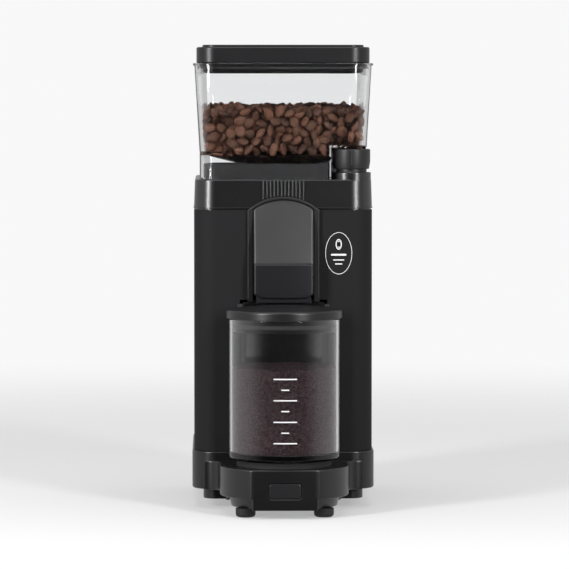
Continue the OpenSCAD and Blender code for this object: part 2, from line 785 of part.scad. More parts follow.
module chamber_screws() color("#8d8f93") translate([0, burr_y, 0]) around(3, lug_r, 90)
    screw(1.5, 3.2, 2.5, 2 * bell_t + 2, chamber_z + bell_t);

hub_z = chamber_z + chamber_floor + 1;
burr_screw_r = burr_r - 6;

module burr_hub() color("#a9abae") translate([0, burr_y, 0]) difference() {
    union() {
        post(burr_r + 1, hub_z + 5, lower_burr_z - snug);
        post(10, hub_z, hub_z + 6);
        around(4, burr_r, 20) translate([-6, -1.2, hub_z]) cube([chamber_r - burr_r + 5, 2.4, 10]);
    }
    post(shaft_r + 0.01, hub_z - over, lower_burr_z - 1.4);
    post(2.6, hub_z, lower_burr_z + over);
    around(3, burr_screw_r) post(1.7, hub_z, lower_burr_z + over);
}

module burr_hub_bolt() color("#b9bbbe") translate([0, burr_y, 0]) {
    translate([0, 0, lower_burr_z]) cylinder(r = 5.4, h = 4, $fn = 6);
    post(2.5, lower_burr_z - 1.4, lower_burr_z + over);
}

// One flat burr with its teeth cut into the face at the top; bore is its inner radius
module burr(bore) difference() {
    post(burr_r, 0, burr_t);
    post(bore, -over, burr_t + over);
    around(20, burr_r - 5) rotate([0, 0, 28]) translate([-3, -0.8, burr_t - 1]) cube([14, 1.6, 2]);
    around(8, bore + 4) rotate([0, 0, 20]) translate([-6, -1.6, burr_t - 2]) cube([11, 3.2, 3]);
    around(3, burr_screw_r) post(1.8, -over, burr_t + over);
    around(3, burr_screw_r) post(3.3, burr_t - 3, burr_t + over);
}

module lower_burr() color("#c9cbcd") translate([0, burr_y, lower_burr_z]) burr(8);
module upper_burr() color("#c9cbcd") translate([0, burr_y, upper_burr_z + burr_t])
    mirror([0, 0, 1]) burr(14);

module lower_burr_screws() color("#8d8f93") translate([0, burr_y, 0]) around(3, burr_screw_r)
    screw(1.65, 3.1, 1.6, burr_t + 2, lower_burr_z + burr_t - 3);

module upper_burr_screws() color("#8d8f93") translate([0, burr_y, 2 * upper_burr_z + burr_t])
    mirror([0, 0, 1]) around(3, burr_screw_r)
    screw(1.65, 3.1, 1.6, burr_t + 0.6, upper_burr_z + burr_t - 3);

module upper_burr_carrier() color("#b08d4a") translate([0, burr_y, 0]) difference() {
    union() {
        post(chamber_r - slip, flange_z, flange_top);
        post(carrier_neck_r, flange_top - over, cap_top - cap_roof - 0.5);
    }
    post(carrier_bore_r, flange_top - over, cap_top);
    post(14, flange_z - over, flange_top);
    around(keys, chamber_r, 30) translate([-key_h - slip, -key_w / 2 - slip, flange_z - over])
        cube([key_h + 1, key_w + 2 * slip, flange_t + 2 * over]);
    around(3, burr_screw_r) post(1.7, flange_z - over, flange_z + flange_t - 0.5);
}

function involute(a) = tan(a) * 180 / PI - a;
// Half the angle that a tooth takes up at radius r, on a gear of n teeth and pitch radius p
function tooth_half(r, n, p) = let (base = p * cos(pressure_angle))
    90 / n - backlash / 4 / p * 180 / PI + involute(pressure_angle)
    - involute(r > base ? acos(base / r) : 0);
function gear_radius(n) = n * gear_module / 2;

// One tooth of a gear of n teeth, pointing along +X, from just below its root to its tip
module tooth(n) {
    p = gear_radius(n);
    low = max(p - 1.15 * gear_module, 1);
    radii = concat([low - 0.4], [for (k = [0 : 4]) low + (p + 0.95 * gear_module - low) * k / 4]);
    right = [for (r = radii) let (h = tooth_half(r, n, p)) [r * cos(h), -r * sin(h)]];
    left = [for (k = [len(radii) - 1 : -1 : 0]) [right[k][0], -right[k][1]]];
    polygon(concat(right, left));
}

module adjusting_ring() color("#d9d4c6") translate([0, burr_y, ring_z]) {
    root_r = gear_radius(ring_teeth) - 1.15 * gear_module;
    step = 360 / ring_teeth;
    edge = (sector_teeth + 0.5) * step;
    rim = 1.6 * root_r;
    difference() {
        linear_extrude(ring_t) {
            circle(ring_body_r);
            rotate(gear_dir) intersection() {
                circle(root_r);
                polygon([[0, 0], [rim * cos(edge), -rim * sin(edge)], [rim, 0],
                    [rim * cos(edge), rim * sin(edge)]]);
            }
            for (k = [-sector_teeth : sector_teeth]) rotate(gear_dir + k * step) tooth(ring_teeth);
        }
        post(carrier_neck_r + 0.15, -over, ring_t + over);
    }
}

module adjusting_shaft() color("#b9bbbe") translate([knob_x, knob_y, 0])
    post(knob_shaft_r, ring_z - 1, knob_z + knob_h - 5);

module adjusting_pinion() color("#d9d4c6") translate([knob_x, knob_y, ring_z]) difference() {
    union() {
        linear_extrude(ring_t) {
            circle(gear_radius(pinion_teeth) - 1.15 * gear_module);
            for (k = [0 : pinion_teeth - 1])
                rotate(gear_dir + 180 + (k + 0.5) * 360 / pinion_teeth) tooth(pinion_teeth);
        }
        post(7, ring_t - over, ring_t + 0.8);
    }
    post(knob_shaft_r + 0.01, -over, ring_t + 2);
}

module adjusting_knob() color("#2d2d2f") translate([knob_x, knob_y, 0]) difference() {
    union() {
        post(knob_r, knob_z, knob_z + knob_h);
        post(knob_r - 2.9, knob_z - knob_neck_h, knob_z + over);
        translate([-0.6, -knob_r - 0.35, knob_z + 3]) cube([1.2, 2, knob_h - 4]);
    }
    post(knob_shaft_r + 0.01, pedestal_top - over, knob_z + knob_h - 5);
}

// ---- Electrics ----

module control_board() color("#2f6b45") translate([0, board_y, board_z]) difference() {
    union() {
        translate([-board_w / 2, 0, 0]) cube([board_w, 1.6, board_h]);
        translate([-28, -14, 44]) cube([20, 14 + over / 2, 24]);
        translate([6, -9, 50]) cube([16, 9 + over / 2, 12]);
        translate([-26, -7, 12]) cube([24, 7 + over / 2, 10]);
        for (x = [8, 20]) translate([x, over / 2, 20]) rotate([90, 0, 0]) cylinder(r = 5, h = 16);
    }
    for (x = [-1, 1], z = [4, board_h - 4]) translate([x * (board_w / 2 - 4), -over, z])
        rotate([-90, 0, 0]) cylinder(r = 1.7, h = 4);
}

module board_bracket() color("#9a9ca0") {
    back = board_y + 6;
    translate([-board_w / 2, back, chassis_top + snug]) cube([board_w, 1.5, board_h + 26]);
    translate([-board_w / 2, back, chassis_top + snug]) cube([board_w, 10, 1.5]);
    for (x = [-1, 1], z = [4, board_h - 4]) translate([x * (board_w / 2 - 4), board_y + 1.6, board_z + z])
        rotate([-90, 0, 0]) cylinder(r = 2.8, h = back - board_y - 1.6 + over / 2);
}

module board_screws() color("#8d8f93") for (x = [-1, 1], z = [4, board_h - 4])
    translate([x * (board_w / 2 - 4), board_y, board_z + z]) rotate([90, 0, 0]) {
        cylinder(r = 2.8, h = 1.6);
        translate([0, 0, -1.5]) cylinder(r = 1.5, h = 2);
    }

module run_capacitor() color("#c9cacb") translate(capacitor) {
    post(capacitor_r, chassis_top, chassis_top + capacitor_h);
    for (x = [-5, 5]) translate([x - 0.4, -3, chassis_top + capacitor_h - over]) cube([0.8, 6, 9]);
}

module capacitor_clamp() color("#9a9ca0") translate(capacitor) {
    tube(capacitor_r + 1.6, capacitor_r + 0.1, clamp_z, clamp_z + 10);
    translate([-4, capacitor_r + 0.8, chassis_top]) cube([8, 1.5, clamp_z + 10 - chassis_top]);
    translate([-4, capacitor_r + 0.8, chassis_top]) cube([8, 10, 1.5]);
}

terminal = [-(body_w / 2 - 22), sleeve_rear - 75];

module terminal_block() color("#dcd9cf") translate([terminal[0], terminal[1], chassis_top]) difference() {
    translate([-8, -20, 0]) cube([16, 40, 14]);
    for (y = [-14, -5, 4, 13]) translate([-3, y, 8]) cylinder(r = 2.4, h = 8);
}

function unit(v) = v / norm(v);

// Cuts the corners of a route, which rounds it off
function eased(p) = concat([p[0]],
    [for (i = [0 : len(p) - 2]) each [p[i] * 0.75 + p[i + 1] * 0.25, p[i] * 0.25 + p[i + 1] * 0.75]],
    [p[len(p) - 1]]);

// A ring of points round place c, square to direction t
function wire_ring(c, t, r, sides) = let (u = unit(cross(t, [1, 1, 1.3])), v = cross(t, u))
    [for (j = [0 : sides - 1]) c + r * (cos(j * 360 / sides) * u + sin(j * 360 / sides) * v)];

// A wire of radius r whose route is eased twice
module wire(points, r, sides = 8) {
    path = eased(eased(points));
    n = len(path) - 1;
    rings = [for (i = [0 : n])
        each wire_ring(path[i], unit(path[min(i + 1, n)] - path[max(i - 1, 0)]), r, sides)];
    walls = [for (i = [0 : n - 1], j = [0 : sides - 1])
        [i * sides + j, (i + 1) * sides + j,
         (i + 1) * sides + (j + 1) % sides, i * sides + (j + 1) % sides]];
    first = [for (j = [0 : sides - 1]) j];
    last = [for (j = [sides - 1 : -1 : 0]) n * sides + j];
    polyhedron(rings, concat(walls, [first, last]), convexity = 8);
}

module wiring_loom() color("#4a6fa5") {
    low = chassis_top + 8;
    wire([[terminal[0] + 10, terminal[1] + 8, low], [-30, terminal[1] + 8, low],
        [-27, sleeve_rear - 37, low - 4], [-27, sleeve_rear - 37, plinth_top + 12],
        [-27, switch_y + 40, plinth_top + 12], [-7, switch_y + 27, button_z],
        [-7, switch_y + 24, button_z]], 1.4);
    wire([[capacitor[0] - 5, capacitor[1], chassis_top + capacitor_h + 11],
        [capacitor[0] - 5, capacitor[1], chassis_top + capacitor_h + 18],
        [20, board_y - 18, board_z + 56], [14, board_y - 10, board_z + 56]], 1.4);
    wire([[terminal[0] + 10, terminal[1] - 2, low], [-40, terminal[1] - 2, low + 6],
        [-34, board_y - 24, board_z + 20], [-14, board_y - 9, board_z + 17]], 1.4);
}

// ---- Hopper ----

// The space for the knob, cut square through the corner with its inner corner round
module knob_space(r, z0, z1) {
    reach = knob_inset + over;
    translate([knob_x, knob_y, 0]) post(r, z0, z1);
    translate([knob_x - r, knob_y - reach, z0]) cube([r + reach, reach, z1 - z0]);
    translate([knob_x, knob_y - reach, z0]) cube([reach, reach + r, z1 - z0]);
}

module hopper_slab(grow, z) {
    block(hopper_w + 2 * grow, hopper_d + 2 * grow, hopper_r + grow, sleeve_mid, z, z + 0.01,
        $fn = 32);
}

// A funnel from the foot of the hopper's walls at z down to a throat of radius r
module funnel(r, z) hull() {
    hopper_slab(-hopper_wall, z);
    translate([0, burr_y, z - funnel_drop]) cylinder(r = r, h = 0.01, $fn = 32);
}

module hopper() color("#e4e6e8", 0.35) difference() {
    union() {
        block(hopper_w, hopper_d, hopper_r, sleeve_mid, hopper_z, hopper_floor);
        hull() {
            hopper_slab(0, hopper_floor);
            hopper_slab(hopper_flare, hopper_top - 0.01);
        }
        block(hopper_w + 2 * (hopper_flare + hopper_rim_w), hopper_d + 2 * (hopper_flare + hopper_rim_w),
            hopper_r + hopper_flare + hopper_rim_w, sleeve_mid, hopper_top - hopper_rim_t, hopper_top);
        translate([0, burr_y, 0]) post(throat_r, throat_z, hopper_floor);
    }
    // Space for the beans, with a funnel floor
    difference() {
        union() {
            hull() {
                hopper_slab(-hopper_wall, hopper_floor + 2);
                hopper_slab(hopper_flare - hopper_wall + 0.06, hopper_top + over);
            }
            funnel(throat_r - 2, hopper_floor + 2.005);
        }
        knob_space(notch_r + hopper_wall, cap_top, notch_top + hopper_wall);
    }
    // Space under the floor
    difference() {
        block(hopper_w - 2 * hopper_wall, hopper_d - 2 * hopper_wall, hopper_r - hopper_wall,
            sleeve_mid, cap_top - over, hopper_floor - floor_t / 2);
        funnel(throat_r, hopper_floor + 2 - floor_t);
        translate([0, burr_y, 0]) post(throat_r, throat_z - over, hopper_floor);
        knob_space(notch_r + hopper_wall, cap_top - over, hopper_floor);
    }
    translate([0, burr_y, 0]) post(throat_r - 2, throat_z - over, hopper_floor + 6);
    knob_space(notch_r, cap_top - over, notch_top);
}

lid_w = hopper_w + 2 * (hopper_flare - hopper_wall + lid_ledge);
lid_d = hopper_d + 2 * (hopper_flare - hopper_wall + lid_ledge);
lid_r = hopper_r + hopper_flare - hopper_wall + lid_ledge;
hopper_lid_z = hopper_top + snug;
hopper_lid_side = hopper_lid_z + hopper_lid_h;
plateau_h = 1.8;
plug_depth = 6;

module hopper_lid() color("#2b2b2d") difference() {
    union() {
        block(lid_w, lid_d, lid_r, sleeve_mid, hopper_lid_z, hopper_lid_side);
        block(lid_w - 9.6, lid_d - 9.6, lid_r - 4.8, sleeve_mid, hopper_lid_side - over,
            hopper_lid_side + plateau_h);
        block(lid_w - 2 * (lid_ledge + plug_gap), lid_d - 2 * (lid_ledge + plug_gap),
            lid_r - lid_ledge - plug_gap, sleeve_mid, hopper_lid_z - plug_depth / 2, hopper_lid_z + over);
        block(lid_w - 10, lid_d - 10, lid_r - 5, sleeve_mid, hopper_lid_z - plug_depth - 2,
            hopper_lid_z + over);
    }
    block(lid_w - 15, lid_d - 15, lid_r - 7.5, sleeve_mid, hopper_lid_z - plug_depth - 3,
        hopper_lid_side - shell_t);
}

module hopper_lid_seal() color("#3a3a3c") difference() {
    z = hopper_lid_z - plug_depth / 2;
    block(lid_w - 2 * lid_ledge - 0.8, lid_d - 2 * lid_ledge - 0.8, lid_r - lid_ledge - 0.4,
        sleeve_mid, z - 1.6, z - snug);
    block(lid_w - 9.8, lid_d - 9.8, lid_r - 4.9, sleeve_mid, z - 3, z + over);
}

// ---- Jar ----

module jar() color("#dfe5e8", 0.3) translate([0, jar_y, 0]) difference() {
    post(jar_r, jar_z, jar_top);
    post(jar_r - jar_wall, jar_z + 5, jar_top + over);
    post(jar_r - 5, jar_z - over, jar_z + 1.2);
}

plug_r = jar_r - jar_wall - 1;
seal_z = jar_lid_z - 7;

module jar_lid() color("#2b2b2d") difference() {
    dome_r = (pow(jar_lid_r - 3, 2) + pow(lid_dome_h, 2)) / (2 * lid_dome_h);
    side_top = jar_lid_z + lid_side_h;
    union() {
        translate([0, jar_y, 0]) post(jar_lid_r, jar_lid_z, side_top);
        translate([0, jar_y, side_top]) rotate_extrude() intersection() {
            translate([0, lid_dome_h - dome_r]) circle(dome_r, $fn = 360);
            square([jar_lid_r - 3, lid_dome_h + over]);
        }
        translate([0, jar_y, 0]) tube(plug_r, plug_r - 2.5, jar_lid_z - lid_plug_h, jar_lid_z + over);
    }
    translate([0, jar_y, 0]) post(plug_r - 2.5, jar_lid_z - over, side_top - 2.5);
    translate([0, jar_y, 0]) tube(plug_r + over, plug_r - 1.2, seal_z, seal_z + 3);
    translate([0, fill_y, jar_lid_z]) linear_extrude(lid_side_h + lid_dome_h + over)
        rounded(fill_w, fill_d, fill_r);
}

module jar_lid_seal() color("#4a4a4c") translate([0, jar_y, 0])
    tube(jar_r - jar_wall - slip, plug_r - 1.1, seal_z + snug, seal_z + 3 - snug);

base_housing();
base_plate();
base_plate_screws();
rubber_feet();
jar_pad();
power_button();
button_spring();
power_switch();
cord_gland();
body_sleeve();
front_frame();
chute_cover();
chute_nose();
outlet_duct();
jar_recess_liner();
top_cap();
cap_screws();
hopper_collar();
chassis_plate();
chassis_posts();
post_nuts();
top_deck();
rubber_mounts();
motor_lower_bell();
motor_upper_bell();
motor_tie_bolts();
stator_core();
stator_windings();
rotor_core();
motor_shaft();
cooling_fan();
bearing_outer_rings();
bearing_inner_rings();
bearing_balls();
grinding_chamber();
chamber_screws();
burr_hub();
burr_hub_bolt();
lower_burr();
lower_burr_screws();
upper_burr();
upper_burr_screws();
upper_burr_carrier();
adjusting_ring();
adjusting_shaft();
adjusting_pinion();
adjusting_knob();
control_board();
board_bracket();
board_screws();
run_capacitor();
capacitor_clamp();
terminal_block();
wiring_loom();
hopper();
hopper_lid();
hopper_lid_seal();
jar();
jar_lid();
jar_lid_seal();
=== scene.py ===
"""A burr coffee grinder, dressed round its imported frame.

Shapes are worked out in millimetres, X right, Y back and Z up, and mesh_piece turns them
into metres.
"""
import json
import math

import bmesh
import bpy
import numpy as np
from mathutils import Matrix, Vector


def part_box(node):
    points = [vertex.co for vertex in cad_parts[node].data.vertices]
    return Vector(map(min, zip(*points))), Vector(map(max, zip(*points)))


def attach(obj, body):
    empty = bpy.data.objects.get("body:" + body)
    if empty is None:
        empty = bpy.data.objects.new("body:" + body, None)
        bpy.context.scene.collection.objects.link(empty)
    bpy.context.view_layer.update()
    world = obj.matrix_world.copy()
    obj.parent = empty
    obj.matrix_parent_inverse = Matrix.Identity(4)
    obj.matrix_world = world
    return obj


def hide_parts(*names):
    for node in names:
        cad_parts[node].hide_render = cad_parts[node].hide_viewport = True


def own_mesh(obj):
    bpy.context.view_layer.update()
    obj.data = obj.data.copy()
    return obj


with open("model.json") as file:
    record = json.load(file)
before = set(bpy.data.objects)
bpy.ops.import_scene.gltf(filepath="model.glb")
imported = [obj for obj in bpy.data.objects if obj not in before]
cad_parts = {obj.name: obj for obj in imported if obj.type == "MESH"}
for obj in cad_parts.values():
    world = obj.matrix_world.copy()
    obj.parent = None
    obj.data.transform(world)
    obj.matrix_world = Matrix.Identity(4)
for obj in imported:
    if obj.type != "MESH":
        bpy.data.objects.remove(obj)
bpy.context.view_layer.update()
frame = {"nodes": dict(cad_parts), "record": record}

# ---------------------------------------------------------------------------------------
# The studio: a pale floor that fades out into a pale room, a long lens a little to the
# left of the grinder, a soft light overhead and tall soft lights at its two sides.
# ---------------------------------------------------------------------------------------
scene = bpy.context.scene
scene.view_settings.view_transform = "Standard"
room_grey = 0.94

camera = bpy.data.objects.new("camera", bpy.data.cameras.new("camera"))
scene.collection.objects.link(camera)
camera.location = (-0.0535, -2.98, 0.3394)
camera.rotation_euler = (math.radians(90 - 3.088), 0, math.radians(-1.061))
camera.data.lens = 231
camera.data.clip_end = 30
scene.camera = camera


def link(tree, a, out, b, into):
    """Joins output `out` of node a to input `into` of node b."""
    tree.links.new(a.outputs[out], b.inputs[into])


def add_node(tree, kind, values={}, **settings):
    """A new shader node: settings are its own properties, and values go to its inputs."""
    made = tree.nodes.new("ShaderNode" + kind)
    for name, value in settings.items():
        setattr(made, name, value)
    for socket, value in values.items():
        made.inputs[socket].default_value = value
    return made


def studio_world(pale, front, sides):
    """A room that the lens sees as pale, also through clear pieces, and that lights the
    rest from its sides and back: towards the lens it falls off to `front`. Light that has
    bounced before it leaves a clear piece gets the darker room too."""
    world = bpy.data.worlds.new("studio room")
    world.use_nodes = True
    tree = world.node_tree
    tree.nodes.clear()
    place = add_node(tree, "TexCoord")
    split = add_node(tree, "SeparateXYZ")
    limits = {"From Min": -0.82, "From Max": -0.08, "To Min": front, "To Max": sides}
    depth = add_node(tree, "MapRange", limits, interpolation_type="SMOOTHSTEP")
    path = add_node(tree, "LightPath")
    bounces = add_node(tree, "Math", operation="ADD")
    through = add_node(tree, "Math", operation="SUBTRACT", use_clamp=True)
    seen = add_node(tree, "Math", operation="MAXIMUM")
    pick = add_node(tree, "Mix", {"B": pale})
    shine = add_node(tree, "Background")
    out = add_node(tree, "OutputWorld")
    link(tree, place, "Generated", split, "Vector")
    link(tree, split, "Y", depth, "Value")
    link(tree, path, "Is Camera Ray", seen, 0)
    link(tree, path, "Diffuse Depth", bounces, 0)
    link(tree, path, "Glossy Depth", bounces, 1)
    link(tree, path, "Is Transmission Ray", through, 0)
    link(tree, bounces, "Value", through, 1)
    link(tree, through, "Value", seen, 1)
    link(tree, seen, "Value", pick, "Factor")
    link(tree, depth, "Result", pick, "A")
    link(tree, pick, "Result", shine, "Color")
    link(tree, shine, "Background", out, "Surface")
    return world


scene.world = studio_world(room_grey, 0.03, 0.6)


def softbox(name, place, width, height, power):
    """An area light at `place` that faces the grinder."""
    light = bpy.data.lights.new(name, "AREA")
    light.shape = "RECTANGLE"
    light.size, light.size_y, light.energy = width, height, power
    lamp = bpy.data.objects.new(name, light)
    lamp.location = place
    way = Vector((0, 0, min(place[2], 0.2))) - Vector(place)
    lamp.rotation_euler = way.to_track_quat("-Z", "Y").to_euler()
    scene.collection.objects.link(lamp)


softbox("overhead light", (0, -0.2, 1.7), 1.3, 1.0, 8)
softbox("left light", (-0.98, -1.02, 0.68), 0.22, 1.05, 20)
softbox("right light", (0.74, -1.14, 0.68), 0.18, 1.05, 15)


def mesh_piece(name, verts, faces, sharp=32):
    """A mesh object at the origin from points in millimetres. It is smooth apart from edges
    that turn more than `sharp` degrees."""
    mesh = bpy.data.meshes.new(name)
    mesh.from_pydata((np.asarray(verts) * 0.001).tolist(), [], faces)
    welded = bmesh.new()
    welded.from_mesh(mesh)
    bmesh.ops.remove_doubles(welded, verts=welded.verts, dist=2e-6)
    welded.to_mesh(mesh)
    welded.free()
    piece = bpy.data.objects.new(name, mesh)
    scene.collection.objects.link(piece)
    return smoothed(piece, sharp)


def smoothed(piece, sharp=32):
    """Smooth shading, with sharp edges where the surface turns more than an angle."""
    piece.data.shade_smooth()
    piece.data.set_sharp_from_angle(angle=math.radians(sharp))
    return piece


def circle(r, centre=(0, 0), n=96):
    """Points round a circle and their outward normals."""
    a = np.arange(n) * 2 * np.pi / n
    normals = np.column_stack([np.cos(a), np.sin(a)])
    return np.array(centre) + r * normals, normals


floor_edge = circle(2200)[0]
floor = mesh_piece("studio_floor", np.column_stack([floor_edge, np.zeros(96)]), [list(range(96))])


def floor_material(pale):
    """Pale paint with a glow that keeps the floor as light as the room. It fades out with
    the distance from the middle, and glossy pieces look through it at the room."""
    paint = bpy.data.materials.new("pale floor")
    paint.use_nodes = True
    tree = paint.node_tree
    skin = tree.nodes["Principled BSDF"]
    skin.inputs["Base Color"].default_value = (0.45, 0.45, 0.45, 1)
    skin.inputs["Roughness"].default_value = 0.9
    skin.inputs["Specular IOR Level"].default_value = 0.1
    skin.inputs["Emission Color"].default_value = (pale, pale, pale, 1)
    skin.inputs["Emission Strength"].default_value = 0.35
    place = add_node(tree, "TexCoord")
    reach = add_node(tree, "VectorMath", operation="LENGTH")
    distances = {"From Min": 0.35, "From Max": 1.6, "To Min": 1, "To Max": 0}
    fade = add_node(tree, "MapRange", distances, interpolation_type="SMOOTHSTEP")
    link(tree, place, "Object", reach, 0)
    path = add_node(tree, "LightPath")
    seen = add_node(tree, "Math", operation="SUBTRACT", use_clamp=True)
    link(tree, reach, "Value", fade, "Value")
    link(tree, fade, "Result", seen, 0)
    link(tree, path, "Is Glossy Ray", seen, 1)
    link(tree, seen, "Value", skin, "Alpha")
    return paint


floor.data.materials.append(floor_material(room_grey))

# ---------------------------------------------------------------------------------------
# Rubber feet: four turned pads of black rubber under the base, with a rounded lower edge.
# Their spigots snap into the base plate.
# ---------------------------------------------------------------------------------------


def box_mm(node):
    """The lowest and highest corners of a frame node, in millimetres."""
    low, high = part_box(node)
    return np.array(low) * 1000, np.array(high) * 1000


def rounded_edges(low, high, r_low, r_high, steps=5):
    """A side profile of (inset, height) from low to high, whose two edges are rounded to
    quarter circles. It starts and ends a little way in on the flat faces."""
    a = np.linspace(0, np.pi / 2, steps + 1)
    bottom = np.column_stack([r_low * (1 - np.sin(a)), low + r_low * (1 - np.cos(a))])
    top = np.column_stack([r_high * (1 - np.cos(a)), high - r_high * (1 - np.sin(a))])
    return np.vstack([[r_low + 0.5, low], bottom, top, [r_high + 0.5, high]])


def ring_faces(levels, n, ends=True, loop=False):
    """Quads between neighbouring rings of n points. The stack either ends in a face at the
    bottom and the top, stays open, or loops back from the last ring to the first."""
    k = np.arange(levels if loop else levels - 1)[:, None]
    i = np.arange(n)[None, :]
    j, up = (i + 1) % n, (k + 1) % levels
    quads = np.stack([k * n + i, k * n + j, up * n + j, up * n + i], -1)
    faces = quads.reshape(-1, 4).tolist()
    if ends and not loop:
        faces += [list(range(n))[::-1], list(range((levels - 1) * n, levels * n))]
    return faces


def carried(name, outline, profile, along="z", loop=False, ends=True, sharp=32):
    """Carries a profile of (inset, height) round an outline. Each ring is the outline drawn
    in along its normals by the inset, at the height. along="y" stands the outline up in X
    and Z, with the heights running forwards."""
    points, normals = outline
    profile = np.asarray(profile, float)
    if not loop and profile[-1, 1] < profile[0, 1]:
        profile = profile[::-1]
    rings = points[None] - profile[:, 0, None, None] * normals[None]
    heights = np.repeat(profile[:, 1], len(points))
    u, v = rings[..., 0].ravel(), rings[..., 1].ravel()
    verts = np.column_stack([u, v, heights] if along == "z" else [u, -heights, v])
    return mesh_piece(name, verts, ring_faces(len(profile), len(points), ends, loop), sharp)


def turned(name, profile, centre, n=128, sharp=32):
    """Turns a profile of (radius, height) about an upright axis. It starts and ends on the
    axis, or else it loops back to its start."""
    outline = circle(0, centre, n)
    inset = np.asarray(profile, float) * [-1, 1]
    solid = inset[0, 0] == 0 and inset[-1, 0] == 0
    return carried(name, outline, inset, loop=not solid, ends=False, sharp=sharp)


def shaped(name, piece, *steps, sharp=32):
    """Adds each ("add", solid) to the piece and takes each ("cut", solid) out of it, in
    turn. The solids that were used are removed."""
    for act, other in steps:
        boolean = piece.modifiers.new(act, "BOOLEAN")
        boolean.operation = {"add": "UNION", "cut": "DIFFERENCE"}[act]
        boolean.solver = "MANIFOLD"
        boolean.object = other
    bpy.context.view_layer.update()
    graph = bpy.context.evaluated_depsgraph_get()
    mesh = bpy.data.meshes.new_from_object(piece.evaluated_get(graph))
    piece.modifiers.clear()
    piece.data = mesh
    for _, other in steps:
        bpy.data.objects.remove(other)
    piece.name = name
    return smoothed(piece, sharp)


def joined(name, pieces):
    """One object made of several that don't touch."""
    counts = [len(p.data.vertices) for p in pieces]
    starts = np.concatenate([[0], np.cumsum(counts)[:-1]])
    verts = [[1000 * c for c in v.co] for p in pieces for v in p.data.vertices]
    faces = [[start + i for i in f.vertices] for start, p in zip(starts.tolist(), pieces)
             for f in p.data.polygons]
    for piece in pieces:
        bpy.data.objects.remove(piece)
    return mesh_piece(name, verts, faces)


def grain_group():
    """Moulded, sprayed or cast grain. A fine noise gives the height, and a broad one moves
    the roughness a little and lightens or darkens the colour."""
    group = bpy.data.node_groups.new("Fine grain", "ShaderNodeTree")
    face = group.interface
    face.new_socket("Colour", in_out="INPUT", socket_type="NodeSocketColor")
    for name in ("Grain per metre", "Middle roughness", "Roughness swing", "Tint swing"):
        face.new_socket(name, in_out="INPUT", socket_type="NodeSocketFloat")
    face.new_socket("Colour", in_out="OUTPUT", socket_type="NodeSocketColor")
    face.new_socket("Roughness", in_out="OUTPUT", socket_type="NodeSocketFloat")
    face.new_socket("Height", in_out="OUTPUT", socket_type="NodeSocketFloat")
    given = group.nodes.new("NodeGroupInput")
    out = group.nodes.new("NodeGroupOutput")
    place = add_node(group, "TexCoord")
    fine = add_node(group, "TexNoise", {"Detail": 3})
    broad = add_node(group, "TexNoise", {"Scale": 22, "Detail": 5})
    centred = add_node(group, "Math", {1: 0.5}, operation="SUBTRACT")
    rough = add_node(group, "Math", operation="MULTIPLY_ADD")
    tint = add_node(group, "Math", {2: 1}, operation="MULTIPLY_ADD")
    shade = add_node(group, "VectorMath", operation="SCALE")
    link(group, place, "Object", fine, "Vector")
    link(group, given, "Grain per metre", fine, "Scale")
    link(group, place, "Object", broad, "Vector")
    link(group, broad, "Fac", centred, 0)
    link(group, centred, "Value", rough, 0)
    link(group, given, "Roughness swing", rough, 1)
    link(group, given, "Middle roughness", rough, 2)
    link(group, centred, "Value", tint, 0)
    link(group, given, "Tint swing", tint, 1)
    link(group, given, "Colour", shade, 0)
    link(group, tint, "Value", shade, "Scale")
    link(group, shade, "Vector", out, "Colour")
    link(group, rough, "Value", out, "Roughness")
    link(group, fine, "Fac", out, "Height")
    return group


fine_grain = grain_group()


def grained(name, colour, roughness, per_metre, depth, swing=0.1, tint=0.25, metallic=0.0,
            specular=0.5):
    """A material whose colour, roughness and bump come from the grain group. depth is the
    bump's depth in millimetres."""
    made = bpy.data.materials.new(name)
    made.use_nodes = True
    tree = made.node_tree
    skin = tree.nodes["Principled BSDF"]
    skin.inputs["Metallic"].default_value = metallic
    skin.inputs["Specular IOR Level"].default_value = specular
    grain = add_node(tree, "Group",
                     {"Colour": (*colour, 1), "Grain per metre": per_metre,
                      "Middle roughness": roughness, "Roughness swing": swing,
                      "Tint swing": tint}, name="grain", node_tree=fine_grain)
    bump = add_node(tree, "Bump", {"Distance": depth * 0.001}, name="grain bump")
    link(tree, grain, "Colour", skin, "Base Color")
    link(tree, grain, "Roughness", skin, "Roughness")
    link(tree, grain, "Height", bump, "Height")
    link(tree, bump, "Normal", skin, "Normal")
    return made


def settle(piece, material, body, slot, *nodes):
    """Gives a piece its material and its body, and hides the frame nodes it stands for. The
    slot is not used. Its big faces keep their own normals."""
    even = piece.modifiers.new("even normals", "WEIGHTED_NORMAL")
    even.keep_sharp = True
    piece.data.materials.clear()
    piece.data.materials.append(material)
    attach(piece, body)
    if nodes:
        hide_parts(*nodes)


black_rubber = grained("black rubber", (0.012, 0.012, 0.012), 0.72, 1800, 0.05)

feet_low, feet_high = box_mm("rubber_feet")
plate_low = box_mm("base_plate")[0]
foot_r = 7.9
foot_corners = [(31, feet_low[1] + foot_r), (feet_high[0] - foot_r, feet_high[1] - foot_r)]
feet = joined("moulded_feet", [
    turned("foot", [(0, 0), (foot_r - 2.6, 0), (foot_r - 1.5, 0.25), (foot_r - 0.6, 0.9),
                    (foot_r - 0.1, 1.9), (foot_r, 2.8), (foot_r, plate_low[2]),
                    (3, plate_low[2]), (3, feet_high[2]), (0, feet_high[2])],
           (side * x, y), 48)
    for x, y in foot_corners for side in (-1, 1)])
settle(feet, black_rubber, "housing", "rubber_black", "rubber_feet")

# ---------------------------------------------------------------------------------------
# Base housing: one black moulding. A skirt carries the sleeve, a platform reaches round
# the jar with a flat facet in front, and both stand on a recessed plinth.
# ---------------------------------------------------------------------------------------


